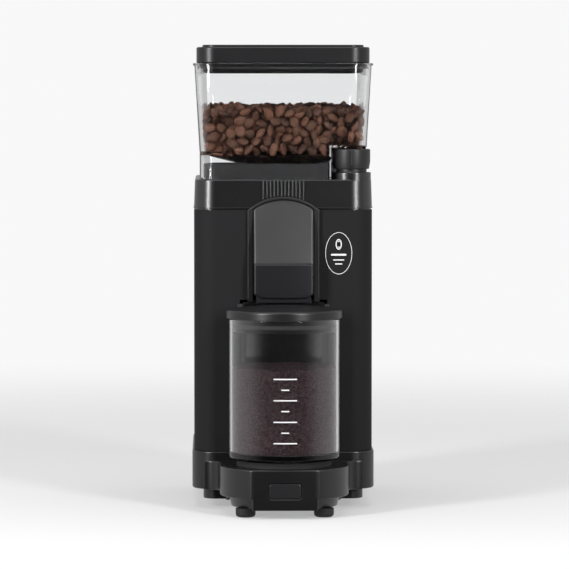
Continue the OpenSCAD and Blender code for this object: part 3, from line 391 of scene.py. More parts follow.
def rounded_rect(w, d, r, y=0.0, corner=12, side=6):
    """Points and normals round a rectangle centred at (0, y). Its corners are quarter
    circles of radius r, and its sides are straight runs cut in `side` steps."""
    a = np.linspace(0, np.pi / 2, corner + 1)
    signs = np.array([(1, 1), (-1, 1), (-1, -1), (1, -1)])
    b = a[None] + np.arange(4)[:, None] * np.pi / 2
    normals = np.stack([np.cos(b), np.sin(b)], -1)
    arcs = signs[:, None] * [w / 2 - r, d / 2 - r] + [0, y] + r * normals
    t = np.linspace(0, 1, side + 1)[1:-1, None]
    runs = arcs[:, -1:] * (1 - t) + np.roll(arcs, -1, 0)[:, :1] * t
    flat = np.repeat(normals[:, -1:], side - 1, 1)
    return (np.concatenate([arcs, runs], 1).reshape(-1, 2),
            np.concatenate([normals, flat], 1).reshape(-1, 2))


def with_normals(points):
    """A closed outline with the outward normals of its neighbours' chords."""
    chord = np.roll(points, -1, 0) - np.roll(points, 1, 0)
    normals = np.column_stack([chord[:, 1], -chord[:, 0]])
    return points, normals / np.linalg.norm(normals, axis=1, keepdims=True)


moulded_black = grained("moulded black plastic", (0.0028, 0.0028, 0.0034), 0.33, 2600, 0.01,
                        swing=0.08, specular=0.7)

base_low, base_high = box_mm("base_housing")
sleeve_low, sleeve_high = box_mm("body_sleeve")
jar_low, jar_high = box_mm("jar")
pad_low, pad_high = box_mm("jar_pad")
jar_r = jar_high[0]
jar_y = (jar_low[1] + jar_high[1]) / 2
body_w, body_d = (sleeve_high - sleeve_low)[:2]
body_y = (sleeve_low[1] + sleeve_high[1]) / 2
front_y = sleeve_low[1]
corner_r = 18
skirt_lip = base_high[0] - sleeve_high[0]
skirt_y = front_y - skirt_lip
skirt_top = base_high[2]
skirt_bottom = base_low[2] + 8.5
plinth_inset = 9
wall = 2.5
platform_r, platform_top, facet_y = 51.4, pad_low[2], base_low[1]
recess_r = jar_r + 2.5
blend_r = 12


def skirt_outline(inset):
    """The skirt's outline drawn in by inset."""
    return rounded_rect(body_w + 2 * (skirt_lip - inset), body_d + 2 * (skirt_lip - inset),
                        corner_r + skirt_lip - inset, body_y)


def platform_outline(reach, facet, blend):
    """Half a circle of radius reach round the jar, cut off flat at the facet. Its straight
    sides flare into the skirt through hollow quarter circles, and it closes inside it."""
    end = math.asin((jar_y - facet) / reach)
    a = np.linspace(0, end, 26)
    curve = np.column_stack([reach * np.cos(a), jar_y - reach * np.sin(a)])
    flat = np.linspace(1, 0, 8)[1:, None] * [curve[-1, 0], 0] + [0, facet]
    b = np.linspace(0, np.pi / 2, 9)[::-1]
    flare = [reach + blend, skirt_y - blend] + blend * np.column_stack([-np.cos(b), np.sin(b)])
    straight = np.column_stack([np.full(5, reach), np.linspace(skirt_y - blend, jar_y, 6)[1:]])
    right = np.vstack([[reach + blend, skirt_y + 5], flare, straight[:-1], curve, flat])
    left = (right * [-1, 1])[-2::-1]
    return with_normals(np.vstack([right, left])[::-1])


foot_inset = 7
under_top = skirt_bottom + 1
facet_half = math.sqrt(platform_r ** 2 - (jar_y - facet_y) ** 2)
platform = carried("platform", platform_outline(platform_r, facet_y, blend_r),
                   rounded_edges(skirt_bottom - 0.02, platform_top, 1.3, 1.3))
plinth = carried("plinth", skirt_outline(plinth_inset),
                 rounded_edges(base_low[2], under_top, 0.6, 0.2))
under = carried("under", platform_outline(platform_r - foot_inset, facet_y + foot_inset, 2),
                [(2.6, base_low[2]), (2.1, base_low[2] + 0.3), (0, under_top)])
facet_block = carried("facet block", rounded_rect(2 * facet_half, 14, 1.2, facet_y + 7, 6),
                      rounded_edges(base_low[2], under_top, 0.5, 0.1))
nest = carried("nest", circle(recess_r, (0, jar_y)),
               [(0, platform_top), (0, skirt_top - 0.7), (-0.7, skirt_top), (-0.7, skirt_top + 3)])
nest_wall = carried("nest wall", circle(recess_r + wall, (0, jar_y)),
                    [(0, platform_top - wall), (0, skirt_top + 2)])
skirt_room = carried("skirt room", skirt_outline(wall),
                     [(0, skirt_bottom + wall), (0, skirt_top - wall)])
skirt_room = shaped("skirt room", skirt_room, ("cut", nest_wall))
plinth_room = carried("plinth room", skirt_outline(plinth_inset + wall),
                      [(0, base_low[2] - 1), (0, skirt_bottom + wall + 0.1)])
platform_room = carried("platform room", platform_outline(platform_r - wall, facet_y + wall, 2),
                        [(0, skirt_bottom + wall), (0, platform_top - wall)])
under_shape = platform_outline(platform_r - foot_inset - wall, facet_y + foot_inset + wall, 2)
facet_shape = rounded_rect(2 * (facet_half - wall), 14, 0.5, facet_y + 7 + wall)
low_rooms = [(0, base_low[2] - 1), (0, skirt_bottom + wall + 0.1)]
under_room = carried("under room", under_shape, low_rooms)
facet_room = carried("facet room", facet_shape, low_rooms)

button_low, button_high = box_mm("power_button")
button_w, button_h, button_gap = 25.4, 12, 0.4
button_z = (button_low[2] + button_high[2]) / 2
pocket = carried("pocket", rounded_rect(button_w + 2 * button_gap, button_h + 2 * button_gap,
                                        2.9, button_z),
                 [(-0.4, -facet_y + 1), (-0.4, -facet_y - 0.01), (0, -facet_y - 0.4),
                  (0, -facet_y - wall - 1)], along="y")
gland_low, gland_high = box_mm("cord_gland")
gland_z = (gland_low[2] + gland_high[2]) / 2
gland_hole = carried("gland hole", circle(7, (0, gland_z)),
                     [(0, -base_high[1] - 2), (0, -base_high[1] + 4)], along="y")
base = shaped(
    "moulded_base",
    carried("skirt", skirt_outline(0), rounded_edges(skirt_bottom, skirt_top, 1.5, 1)),
    ("add", platform), ("add", plinth), ("add", under), ("add", facet_block), ("cut", nest),
    ("cut", skirt_room), ("cut", platform_room), ("cut", plinth_room), ("cut", under_room),
    ("cut", facet_room), ("cut", pocket), ("cut", gland_hole))
settle(base, moulded_black, "housing", "housing_black", "base_housing")

pad = carried("rubber_jar_pad", circle(pad_high[0], (0, jar_y)),
              rounded_edges(pad_low[2], pad_high[2], 0.2, 0.8))
settle(pad, black_rubber, "housing", "rubber_black", "jar_pad")

# ---------------------------------------------------------------------------------------
# Power button: a satin black key with soft edges that sinks into the facet. A flange
# behind it holds it in, and a stem reaches back to the switch.
# ---------------------------------------------------------------------------------------
satin_black = grained("satin black plastic", (0.011, 0.011, 0.012), 0.34, 2000, 0.008,
                      specular=0.5)
key_back = -facet_y - wall
button = shaped(
    "power_key",
    carried("key face", rounded_rect(button_w, button_h, 2.5, button_z),
            rounded_edges(key_back - 0.3, -button_low[1], 0.2, 0.9), along="y"),
    ("add", carried("flange", rounded_rect(button_w + 3, button_h + 3, 2.5, button_z),
                    [(0, key_back - 1.8), (0, key_back - 0.2)], along="y")),
    ("add", carried("stem", circle(2.5, (0, button_z), 32),
                    [(0, -button_high[1]), (0, key_back)], along="y")))
settle(button, satin_black, "button", "knob_black", "power_button")


def coiled(name, r, wire, turns, start, end, z):
    """A wire wound round an axis along Y. Each ring of the wire stands square to the helix:
    its plane holds the radius and that radius crossed with the helix's direction."""
    t = np.linspace(0, turns, 24 * turns + 1)[:, None]
    a = 2 * np.pi * t
    still = np.zeros_like(a)
    outward = np.hstack([np.cos(a), still, np.sin(a)])
    along = np.hstack([-2 * np.pi * r * np.sin(a), still + (end - start) / turns,
                       2 * np.pi * r * np.cos(a)])
    along /= np.linalg.norm(along, axis=1, keepdims=True)
    middle = r * outward + np.hstack([still, start + (end - start) * t / turns, still + z])
    b = np.arange(10)[None, :, None] * 2 * np.pi / 10
    wires = middle[:, None] + wire * (np.cos(b) * outward[:, None]
                                      + np.sin(b) * np.cross(along, outward)[:, None])
    return mesh_piece(name, wires.reshape(-1, 3), ring_faces(len(wires), 10), 60)


spring_low, spring_high = box_mm("button_spring")
wire_r = 0.35
spring = coiled("coiled_spring", (spring_high[0] - spring_low[0]) / 2 - wire_r, wire_r, 4,
                spring_low[1] + wire_r, spring_high[1] - wire_r, button_z)
spring_steel = grained("spring steel", (0.45, 0.45, 0.46), 0.3, 1500, 0.005, metallic=1)
settle(spring, spring_steel, "housing", "steel_screw", "button_spring")
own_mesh(spring)

# ---------------------------------------------------------------------------------------
# Body sleeve: sheet metal bent to a rounded box and sprayed matt black. Its front is cut
# out for the jar recess and for the outlet. The liner is a black moulding behind the jar.
# ---------------------------------------------------------------------------------------
sleeve_black = grained("sprayed black metal", (0.0052, 0.0052, 0.0062), 0.75, 3200, 0.015,
                       swing=0.06, tint=0.15, specular=0.3)
sheet_t = 1.5
liner_low, liner_high = box_mm("jar_recess_liner")
frame_low, frame_high = box_mm("front_frame")
cover_high = box_mm("chute_cover")[1]
nose_low, nose_high = box_mm("chute_nose")
sleeve_outline = rounded_rect(body_w, body_d, corner_r, body_y)
liner_half = liner_high[0] - 2
liner_t = 2
cover_half = cover_high[0]


def front_cut(half, low, high):
    """A block that cuts the sleeve's front wall between two heights."""
    return carried("front cut", rounded_rect(2 * half, 5, 0.05, front_y, 1, 1),
                   [(0, low), (0, high)])


sleeve = shaped(
    "sprayed_sleeve",
    carried("sleeve", sleeve_outline,
            [(0.3, sleeve_low[2]), (0, sleeve_low[2] + 0.3), (0, sleeve_high[2] - 0.4),
             (0.12, sleeve_high[2] - 0.12), (0.4, sleeve_high[2]),
             (sheet_t, sleeve_high[2]), (sheet_t, sleeve_low[2])], loop=True),
    ("cut", front_cut(liner_half + 0.2, sleeve_low[2] - 1, frame_low[2] - 1.3)),
    ("cut", front_cut(cover_half + 1, frame_low[2], sleeve_high[2] + 1)))
settle(sleeve, sleeve_black, "housing", "sleeve_black", "body_sleeve")

liner = shaped(
    "moulded_jar_recess",
    carried("liner", circle(recess_r + liner_t, (0, jar_y)),
            [(0, liner_low[2]), (0, liner_high[2])]),
    ("cut", carried("front half", rounded_rect(200, 120, 0.05, front_y - 60, 1, 1),
                    [(0, 0), (0, 300)])),
    ("add", carried("flange", rounded_rect(2 * liner_high[0], 0.8, 0.05, front_y - 0.4, 1, 1),
                    [(0, liner_low[2]), (0, frame_low[2] - 1.6)])),
    ("cut", carried("jar room", circle(recess_r, (0, jar_y)),
                    [(0, liner_low[2] - 1), (0, frame_low[2])])))
recess_black = grained("matt recess black", (0.016, 0.016, 0.017), 0.6, 2600, 0.01)
settle(liner, recess_black, "housing", "housing_black", "jar_recess_liner")

# ---------------------------------------------------------------------------------------
# Printed badge: a thin white oval on the sleeve's front, with a plain bean and three bars
# in it. It is screen printed, so it has almost no thickness.
# ---------------------------------------------------------------------------------------


def oval(w, h, centre, n=72):
    """Points round an ellipse and their outward normals, in X and Z."""
    a = np.arange(n) * 2 * np.pi / n
    normals = np.column_stack([h * np.cos(a), w * np.sin(a)])
    normals /= np.linalg.norm(normals, axis=1, keepdims=True)
    return np.array(centre) + np.column_stack([w / 2 * np.cos(a), h / 2 * np.sin(a)]), normals


print_out, print_back = -front_y + 0.06, -front_y + 0.01
badge_at = np.array([44.5, 206.2])


def print_ring(w, h, centre, line):
    """A printed oval line."""
    return carried("line", oval(w, h, centre),
                   [(0, print_back), (0, print_out), (line, print_out), (line, print_back)],
                   along="y", loop=True)


def print_bar(w, h, x, z):
    """A printed bar with round ends, centred on (x, z)."""
    points, normals = rounded_rect(w, h, h / 2 - 0.01, z, 4, 2)
    return carried("bar", (points + [x, 0], normals), [(0, print_back), (0, print_out)], along="y")


bean_at = badge_at + [0, 7.2]
badge = joined("printed_badge", [
    print_ring(21.6, 33.9, badge_at, 0.45), print_ring(5, 8.6, bean_at, 0.9),
    print_bar(0.9, 5.4, *bean_at), print_bar(12.5, 1.5, badge_at[0], badge_at[1] - 1.2),
    print_bar(9, 0.9, badge_at[0], badge_at[1] - 5.4),
    print_bar(6, 0.9, badge_at[0], badge_at[1] - 8.6)])
white_print = grained("white print", (0.7, 0.7, 0.69), 0.5, 900, 0.01)
settle(badge, white_print, "housing", "seal_grey")

# ---------------------------------------------------------------------------------------
# Top cap: a black moulding that closes the sleeve, with a raised seat for the adjusting
# knob and twelve grip ribs that run down its front to the arch.
# ---------------------------------------------------------------------------------------
cap_low, cap_high = box_mm("top_cap")
knob_low, knob_high = box_mm("adjusting_knob")
knob_at = ((knob_low[0] + knob_high[0]) / 2, front_y + 16.8)
ring_high = box_mm("adjusting_ring")[1]
rotor_low, rotor_high = box_mm("motor_shaft")
burr_y = (rotor_low[1] + rotor_high[1]) / 2
cap_top = cap_high[2] - 5.7
cap_roof = 3
pedestal_r = 15.8
rib_pitch = 2.94
arch_top = frame_high[2]
frame_half = frame_high[0]
arch_rise = arch_top - sleeve_high[2]
arch_r = (frame_half ** 2 + arch_rise ** 2) / (2 * arch_rise)
arch_z = arch_top - arch_r

cap = carried("cap", sleeve_outline,
              [(0.9, cap_low[2]), (0.9, cap_low[2] + 0.9), (-0.3, cap_low[2] + 1.05),
               (-0.45, cap_low[2] + 1.3), (-0.4, cap_low[2] + 1.75), (0, cap_low[2] + 2.0),
               *([0.7, 0] + rounded_edges(0, cap_top, 0, 1.3)[-7:-1]), (3.2, cap_top)])
pedestal = carried("pedestal", circle(pedestal_r, knob_at),
                   rounded_edges(cap_top - 1, cap_high[2], 0, 0.8))
rib_x = (np.arange(12) - 5.5) * rib_pitch
rib_foot = arch_z + np.sqrt(arch_r ** 2 - rib_x ** 2) + 0.4
rib_outline = rounded_rect(1.2, 1.6, 0.45, front_y, 3, 1)
ribs = [carried("rib", (rib_outline[0] + [x, 0], rib_outline[1]),
                [(0.3, z), (0, z + 0.4), (0, cap_top - 1.6), (0.25, cap_top - 1.1)])
        for x, z in zip(rib_x, rib_foot)]
cap_room = carried("cap room", rounded_rect(body_w - 2 * wall, body_d - 2 * wall,
                                            corner_r - wall, body_y),
                   [(0, cap_low[2] - 1), (0, cap_top - cap_roof)])
boss = carried("shaft boss", circle(7, knob_at, 48), [(0, ring_high[2] + 1.2), (0, cap_top - 1)])
throat_hole = carried("throat hole", circle(26, (0, burr_y)), [(0, cap_top - 5), (0, cap_top + 1)])
shaft_hole = carried("shaft hole", circle(4.05, knob_at, 48),
                     [(0, ring_high[2]), (0, cap_high[2] + 1)])
top_cap = shaped("moulded_top_cap", cap, ("add", pedestal), ("add", joined("ribs", ribs)),
                 ("cut", cap_room), ("add", boss), ("cut", throat_hole), ("cut", shaft_hole))
cap_black = grained("satin moulded black", (0.0036, 0.0036, 0.0042), 0.28, 2600, 0.008,
                    swing=0.08, specular=0.95)
settle(top_cap, cap_black, "housing", "cap_black", "top_cap")

# ---------------------------------------------------------------------------------------
# Arched front: a black frame round the outlet, a smoked cover with painted top light that
# slopes out of its arch, and a darker upright nose below it that hides the chute.
# ---------------------------------------------------------------------------------------


def arch_outline(half, r, bottom, n=48):
    """An arch in X and Z: a circular top of radius r on two upright sides `half` apart from
    the middle, closed by a straight bottom."""
    a = math.asin(half / r)
    b = np.linspace(a, -a, n)
    top = np.column_stack([r * np.sin(b), arch_z + r * np.cos(b)])
    t = np.linspace(0, 1, 16)[1:-1, None]
    left = top[-1] * (1 - t) + np.array([-half, bottom]) * t
    right = left[::-1] * [-1, 1]
    points = np.vstack([top, left, [[-half, bottom], [0, bottom], [half, bottom]], right])
    return with_normals(points)


frame_out = -frame_low[1]
frame_back = -frame_high[1]
gap_half, gap_r = cover_half + 0.4, arch_r - 2.4
arch_frame = shaped(
    "arched_frame",
    carried("frame", arch_outline(frame_half, arch_r, frame_low[2]),
            rounded_edges(frame_back, frame_out, 0, 0.9)[1:], along="y"),
    ("cut", carried("gap", arch_outline(gap_half, gap_r, frame_low[2] - 5),
                    [(0, frame_back - 1), (0, frame_out - 0.5), (-0.5, frame_out),
                     (-0.5, frame_out + 1)], along="y")))
frame_black = grained("satin frame black", (0.008, 0.008, 0.009), 0.42, 2600, 0.01)
settle(arch_frame, frame_black, "housing", "cap_black", "front_frame")

cover_arch_r = arch_r - 2.8
cover_top = arch_z + cover_arch_r
brow_reach = 1.7
nose_y = nose_low[1]


def cover_shell(name, top, bottom, edge_r, crown, thickness=1.6):
    """A pressed cover over the chute. On a grid of heights and of shares of the width, its
    front follows a side profile that slopes from the brow to the nose. It falls back by a
    crown towards its sides, and rounds off within edge_r of its outline. Two more columns
    at each side carry its walls back to the sleeve."""
    share = np.sin(np.linspace(-1, 1, 49) * np.pi / 2)
    rise = (top - bottom) * (1 - np.cos(np.linspace(0, 1, 42) * np.pi / 2))
    height = (top - rise if top > nose_high[2] + 1 else np.linspace(top, bottom, 30))[:, None]
    reach = np.sqrt(np.maximum(cover_arch_r ** 2 - (height - arch_z) ** 2, 1e-6))
    half = np.minimum(cover_half, reach)
    x = half * share
    slope = np.clip((cover_top - height) / (cover_top - nose_high[2]), 0, 1)
    deep = (front_y - brow_reach) * (1 - slope) + nose_y * slope
    inside = np.minimum(cover_half - abs(x), cover_arch_r - np.hypot(x, height - arch_z))
    short = np.clip(1 - inside / edge_r, 0, 1)
    y = deep + crown * slope * share ** 2 + edge_r * (1 - np.sqrt(1 - short ** 2)) * np.minimum(
        1, 0.45 + slope)
    y = np.minimum(y, front_y - 0.2)
    z = np.broadcast_to(height, x.shape)
    back = np.full((len(height), 1), front_y)
    grid = np.stack([np.hstack([x[:, :1], x, x[:, -1:]]), np.hstack([back, y, back]),
                     np.hstack([z[:, :1], z, z[:, -1:]])], -1)
    rows, columns = grid.shape[:2]
    i = np.arange(rows - 1)[:, None] * columns + np.arange(columns - 1)[None]
    quads = np.stack([i, i + columns, i + columns + 1, i + 1], -1).reshape(-1, 4)
    shell = mesh_piece(name, grid.reshape(-1, 3), quads.tolist(), 40)
    walls = shell.modifiers.new("wall", "SOLIDIFY")
    walls.thickness = thickness * 0.001
    walls.offset = -1
    return shell


# The smoke tint is lifted to a lighter grey: painted light from overhead on the sloping cover.
smoked_painted_top_light = grained("smoked plastic", (0.038, 0.038, 0.039), 0.36, 2400, 0.006, specular=0.4)
cover = cover_shell("smoked_cover", cover_high[2], nose_high[2] + 0.1, 1.6, 1.3)
settle(cover, smoked_painted_top_light, "housing", "cover_smoke", "chute_cover")
nose_dark = grained("dark nose plastic", (0.009, 0.009, 0.0112), 0.33, 2400, 0.008)
nose = cover_shell("chute_front", nose_high[2], nose_low[2], 1.6, 1.3)
settle(nose, nose_dark, "housing", "nose_dark", "chute_nose")

# ---------------------------------------------------------------------------------------
# Glass jar: pressed clear glass with a thick floor, soft corners and a rounded lip. White
# measuring ticks are printed on its front, and it is filled with ground coffee.
# ---------------------------------------------------------------------------------------


def arc(cx, cy, r, start, end, steps=6):
    """Points on an arc of a profile, with its angles in degrees."""
    a = np.radians(np.linspace(start, end, steps + 1))
    return np.column_stack([cx + r * np.cos(a), cy + r * np.sin(a)])


def clear(name, tint, ior, roughness):
    """A clear material. Faint waves in its surface bend the light a little."""
    made = bpy.data.materials.new(name)
    made.use_nodes = True
    tree = made.node_tree
    skin = tree.nodes["Principled BSDF"]
    skin.inputs["Base Color"].default_value = (*tint, 1)
    skin.inputs["Roughness"].default_value = roughness
    skin.inputs["IOR"].default_value = ior
    skin.inputs["Transmission Weight"].default_value = 1
    place = add_node(tree, "TexCoord")
    waves = add_node(tree, "TexNoise", {"Scale": 30, "Detail": 0})
    bump = add_node(tree, "Bump", {"Distance": 0.00006})
    link(tree, place, "Object", waves, "Vector")
    link(tree, waves, "Fac", bump, "Height")
    link(tree, bump, "Normal", skin, "Normal")
    return made


jar_wall, jar_floor = 3, 5
jar_z, jar_top = jar_low[2], jar_high[2]
inner_r = jar_r - jar_wall
jar_profile = np.vstack([
    [(0, jar_z + 1.2), (jar_r - 7, jar_z + 1.2), (jar_r - 5.6, jar_z + 0.4)],
    [(jar_r - 4.6, jar_z)], arc(jar_r - 3.4, jar_z + 3.4, 3.4, -90, 0, 8),
    arc(jar_r - 0.8, jar_top - 0.8, 0.8, 0, 90, 4),
    arc(inner_r + 0.8, jar_top - 0.8, 0.8, 90, 180, 4),
    arc(inner_r - 1.6, jar_z + jar_floor + 1.6, 1.6, 0, -90, 6), [(0, jar_z + jar_floor)]])
glass = clear("pressed glass", (0.985, 0.985, 0.99), 1.5, 0.02)
jar = turned("pressed_glass_jar", jar_profile, (0, jar_y))
settle(jar, glass, "glass_jar", "jar_glass", "jar")

grounds_top = 118.5
grounds_r = inner_r - 0.25
rings, spokes = 46, 120
radius = np.linspace(0, 1, rings)[:, None] ** 0.8 * grounds_r
turn = np.arange(spokes)[None] * 2 * np.pi / spokes
gx, gy = radius * np.cos(turn), radius * np.sin(turn)
seed = np.random.default_rng(7)
hill = (2.2 * np.exp(-((gx - 4) ** 2 + (gy - 10) ** 2) / 500) - 1.2 + 0.9 * np.sin(gx / 9 + 1)
        * np.cos(gy / 11) + seed.normal(0, 0.28, gx.shape))
hill[0] = hill[0, 0]
top_grid = np.stack([gx, gy + jar_y, grounds_top + hill], -1)
side_rows = 14
side_z = np.linspace(grounds_top - 2, jar_z + jar_floor + 1.9, side_rows)[:, None]
side_grid = np.stack([np.repeat(gx[-1:], side_rows, 0), np.repeat(gy[-1:] + jar_y, side_rows, 0),
                      np.repeat(side_z, spokes, 1)], -1)
base_r = np.array([grounds_r - 0.6, grounds_r - 1.9])[:, None]
base_z = np.array([jar_z + jar_floor + 0.7, jar_z + jar_floor + 0.2])
base_grid = np.stack([base_r * np.cos(turn), base_r * np.sin(turn) + jar_y,
                      np.repeat(base_z[:, None], spokes, 1)], -1)
pile = np.concatenate([top_grid[1:], side_grid, base_grid])[::-1]
levels = len(pile)
pile_points = np.vstack([pile.reshape(-1, 3), top_grid[0, :1], [[0, jar_y, base_z[1]]]])
pile_faces = ring_faces(levels, spokes, ends=False)
middle, n = levels * spokes, spokes
last_ring = (levels - 1) * n
pile_faces += [[last_ring + i, last_ring + (i + 1) % n, middle] for i in range(n)]
pile_faces += [[(i + 1) % n, i, middle + 1] for i in range(n)]
grounds = mesh_piece("ground_coffee", pile_points, pile_faces, 180)


def speckled(name, dark, light, per_metre, depth, roughness):
    """Grains of two colours. Cells of a Voronoi pattern pick between them, and their
    distance from each cell's middle gives the height of the grains."""
    made = grained(name, dark, roughness, per_metre * 2.5, depth * 0.4, tint=0.6)
    tree = made.node_tree
    skin = tree.nodes["Principled BSDF"]
    place = add_node(tree, "TexCoord")
    cells = add_node(tree, "TexVoronoi", {"Scale": per_metre})
    pick = add_node(tree, "SeparateColor")
    ramp = add_node(tree, "ValToRGB")
    ramp.color_ramp.elements[0].color = (*dark, 1)
    ramp.color_ramp.elements[0].position = 0.25
    ramp.color_ramp.elements[1].color = (*light, 1)
    bump = add_node(tree, "Bump", {"Distance": depth * 0.001}, invert=True)
    link(tree, place, "Object", cells, "Vector")
    link(tree, cells, "Color", pick, "Color")
    link(tree, pick, "Red", ramp, "Fac")
    link(tree, ramp, "Color", skin, "Base Color")
    link(tree, cells, "Distance", bump, "Height")
    link(tree, tree.nodes["grain bump"], "Normal", bump, "Normal")
    link(tree, bump, "Normal", skin, "Normal")
    return made


coffee_grounds = speckled("coffee grounds", (0.036, 0.019, 0.023), (0.108, 0.063, 0.075), 1100,
                          0.6, 0.85)
settle(grounds, coffee_grounds, "glass_jar", "copper")

tick_heights = [110.7, 102.2, 93.9, 85.4, 76.9, 68.4, 60.1]


def tick(width, z, height=0.95):
    """A printed bar centred on the jar's front, as a thin curved block of two skins."""
    s = np.linspace(-width / 2, width / 2, 13) / jar_r
    verts = []
    for r in (jar_r + 0.01, jar_r + 0.05):
        for h in (z - height / 2, z + height / 2):
            verts.append(np.column_stack([r * np.sin(s), jar_y - r * np.cos(s), np.full(13, h)]))
    loop = np.stack([verts[2], verts[3], verts[1], verts[0]], 1)
    faces = ring_faces(13, 4)
    return mesh_piece("tick", loop.reshape(-1, 3), faces)


ticks = joined("printed_ticks", [tick(18.6 if k % 2 == 0 else 6.3, z)
                                 for k, z in enumerate(tick_heights)])
settle(ticks, white_print, "glass_jar", "seal_grey")

# ---------------------------------------------------------------------------------------
# Jar lid: a domed black moulding with a filling hole under the spout. Its plug drops into
# the jar and carries the seal.
# ---------------------------------------------------------------------------------------
lid_low, lid_high = box_mm("jar_lid")
lid_r = lid_high[0]
lid_z, lid_top = jar_high[2] + 0.1, lid_high[2]
lid_side = lid_top - 3
plug_r = inner_r - 1
dome_r = ((lid_r - 3) ** 2 + 9) / 6
dome_x = np.linspace(lid_r - 3.6, 0, 26)
dome = np.column_stack([dome_x, lid_top - dome_r + np.sqrt(dome_r ** 2 - dome_x ** 2)])
lid_profile = np.vstack([
    dome[::-1][:1], dome[::-1][1:], arc(lid_r - 2.2, lid_side - 2.2 + 0.3, 2.2, 80, 0, 6),
    [(lid_r, lid_z + 0.5), (lid_r - 0.5, lid_z), (plug_r, lid_z), (plug_r, lid_low[2] + 0.5),
     (plug_r - 0.5, lid_low[2]), (plug_r - 2.5, lid_low[2]), (plug_r - 2.5, lid_side - 2.5),
     (0, lid_side - 2.5)]])
fill_y = jar_y + 27
jar_lid = shaped(
    "domed_jar_lid", turned("lid", lid_profile[::-1], (0, jar_y)),
    ("cut", carried("fill hole", rounded_rect(34, 13, 5, fill_y),
                    [(0, lid_side - 5), (0, lid_top + 1)])))
lid_black = grained("satin lid black", (0.0068, 0.0068, 0.0078), 0.35, 2200, 0.01)
settle(jar_lid, lid_black, "glass_jar_lid", "lid_black", "jar_lid")

# ---------------------------------------------------------------------------------------
# Bean hopper: clear moulded plastic. An upright foot stands on the cap, the walls flare to
# a thin rim, a funnel floor leads to the throat and a corner is cut out for the knob.
# ---------------------------------------------------------------------------------------
hopper_low, hopper_high = box_mm("hopper")
hopper_inset, hopper_wall, flare, rim_out = 4.6, 2.8, 4.3, 1.1
hopper_z = cap_top + 0.3
hopper_floor = cap_top + 20.5
hopper_top = hopper_high[2]
throat_r = 15.5
notch_r, notch_top, notch_wall = 16.8, knob_high[2] + 1.6, 1.3
hopper_w, hopper_d = body_w - 2 * hopper_inset, body_d - 2 * hopper_inset


def hopper_outline(inset):
    """The hopper's foot outline drawn in by inset."""
    return rounded_rect(hopper_w - 2 * inset, hopper_d - 2 * inset,
                        corner_r - hopper_inset - inset, body_y)


def notch(r, top):
    """The space for the knob: it is cut square through the corner, with its inner corner
    round."""
    a = np.linspace(np.pi, np.pi / 2, 25)
    reach = 22
    inner = np.array(knob_at) + r * np.column_stack([np.cos(a), np.sin(a)])
    points = np.vstack([[[knob_at[0] - r, knob_at[1] - reach]], inner,
                        [[knob_at[0] + reach, knob_at[1] + r]],
                        [[knob_at[0] + reach, knob_at[1] - reach]]])[::-1]
    return carried("notch", with_normals(points), [(0, cap_top - 1), (0, top)])


hopper_shell = carried("hopper", hopper_outline(0), [
    (0.8, hopper_z), (0, hopper_z + 0.8), (0, hopper_floor), (-flare + 0.12, hopper_top - 2),
    (-flare - rim_out + 0.3, hopper_top - 1.9), (-flare - rim_out, hopper_top - 1.5),
    (-flare - rim_out, hopper_top - 0.4), (-flare - rim_out + 0.4, hopper_top), (0, hopper_top)])
throat = carried("throat", circle(throat_r, (0, burr_y)),
                 [(0, hopper_low[2]), (0, hopper_floor - 0.5)])
funnel_drop, floor_t = 12, 2.2
wall_outline = hopper_outline(hopper_wall)
corner = np.arctan2(wall_outline[0][:, 1] - burr_y, wall_outline[0][:, 0])
around_throat = np.column_stack([np.cos(corner), np.sin(corner)])


def funnel_rings(r, z, curve):
    """Rings that run from a circle of radius r round the throat, funnel_drop below z, out to
    the foot of the walls at z. Each point moves out in a straight line, and its height
    rises as a power of its share of the way."""
    share = np.linspace(0, 1, 12)
    ring = (1 - share[:, None, None]) * (r * around_throat + [0, burr_y]) + share[
        :, None, None] * wall_outline[0]
    height = np.repeat((z - funnel_drop * (1 - share ** curve))[:, None], len(corner), 1)
    return np.dstack([ring, height])


def flared_ring(outset, z):
    """The inner wall's outline moved out by outset, at height z."""
    points = wall_outline[0] + wall_outline[1] * outset
    return np.column_stack([points, np.full(len(points), z)])[None]


def stacked(name, rings):
    """A closed solid of stacked rings."""
    return mesh_piece(name, rings.reshape(-1, 3), ring_faces(len(rings), rings.shape[1]))


room = shaped(
    "bean room",
    stacked("room", np.concatenate([funnel_rings(throat_r - 2, hopper_floor + 2, 1.15),
                                    flared_ring(flare + 0.06, hopper_top + 1)])),
    ("cut", notch(notch_r + notch_wall, notch_top + notch_wall)))
below = shaped(
    "space below",
    carried("below", wall_outline, [(0, hopper_z - 1), (0, hopper_floor - floor_t / 2)]),
    ("cut", stacked("funnel", np.concatenate([
        funnel_rings(throat_r, hopper_floor + 2 - floor_t, 1.15),
        flared_ring(1, hopper_floor + 5)]))),
    ("cut", notch(notch_r + notch_wall, hopper_floor)),
    ("cut", carried("throat wall", circle(throat_r, (0, burr_y)),
                    [(0, hopper_z - 2), (0, hopper_floor)])))
bore = carried("bore", circle(throat_r - 2, (0, burr_y)),
               [(0, hopper_low[2] - 1), (0, hopper_floor + 3)])
hopper = shaped("clear_hopper", hopper_shell, ("add", throat), ("cut", room), ("cut", below),
                ("cut", bore), ("cut", notch(notch_r, notch_top)))
clear_plastic = clear("clear plastic", (0.975, 0.978, 0.982), 1.49, 0.03)
settle(hopper, clear_plastic, "bean_hopper", "clear_plastic", "hopper")

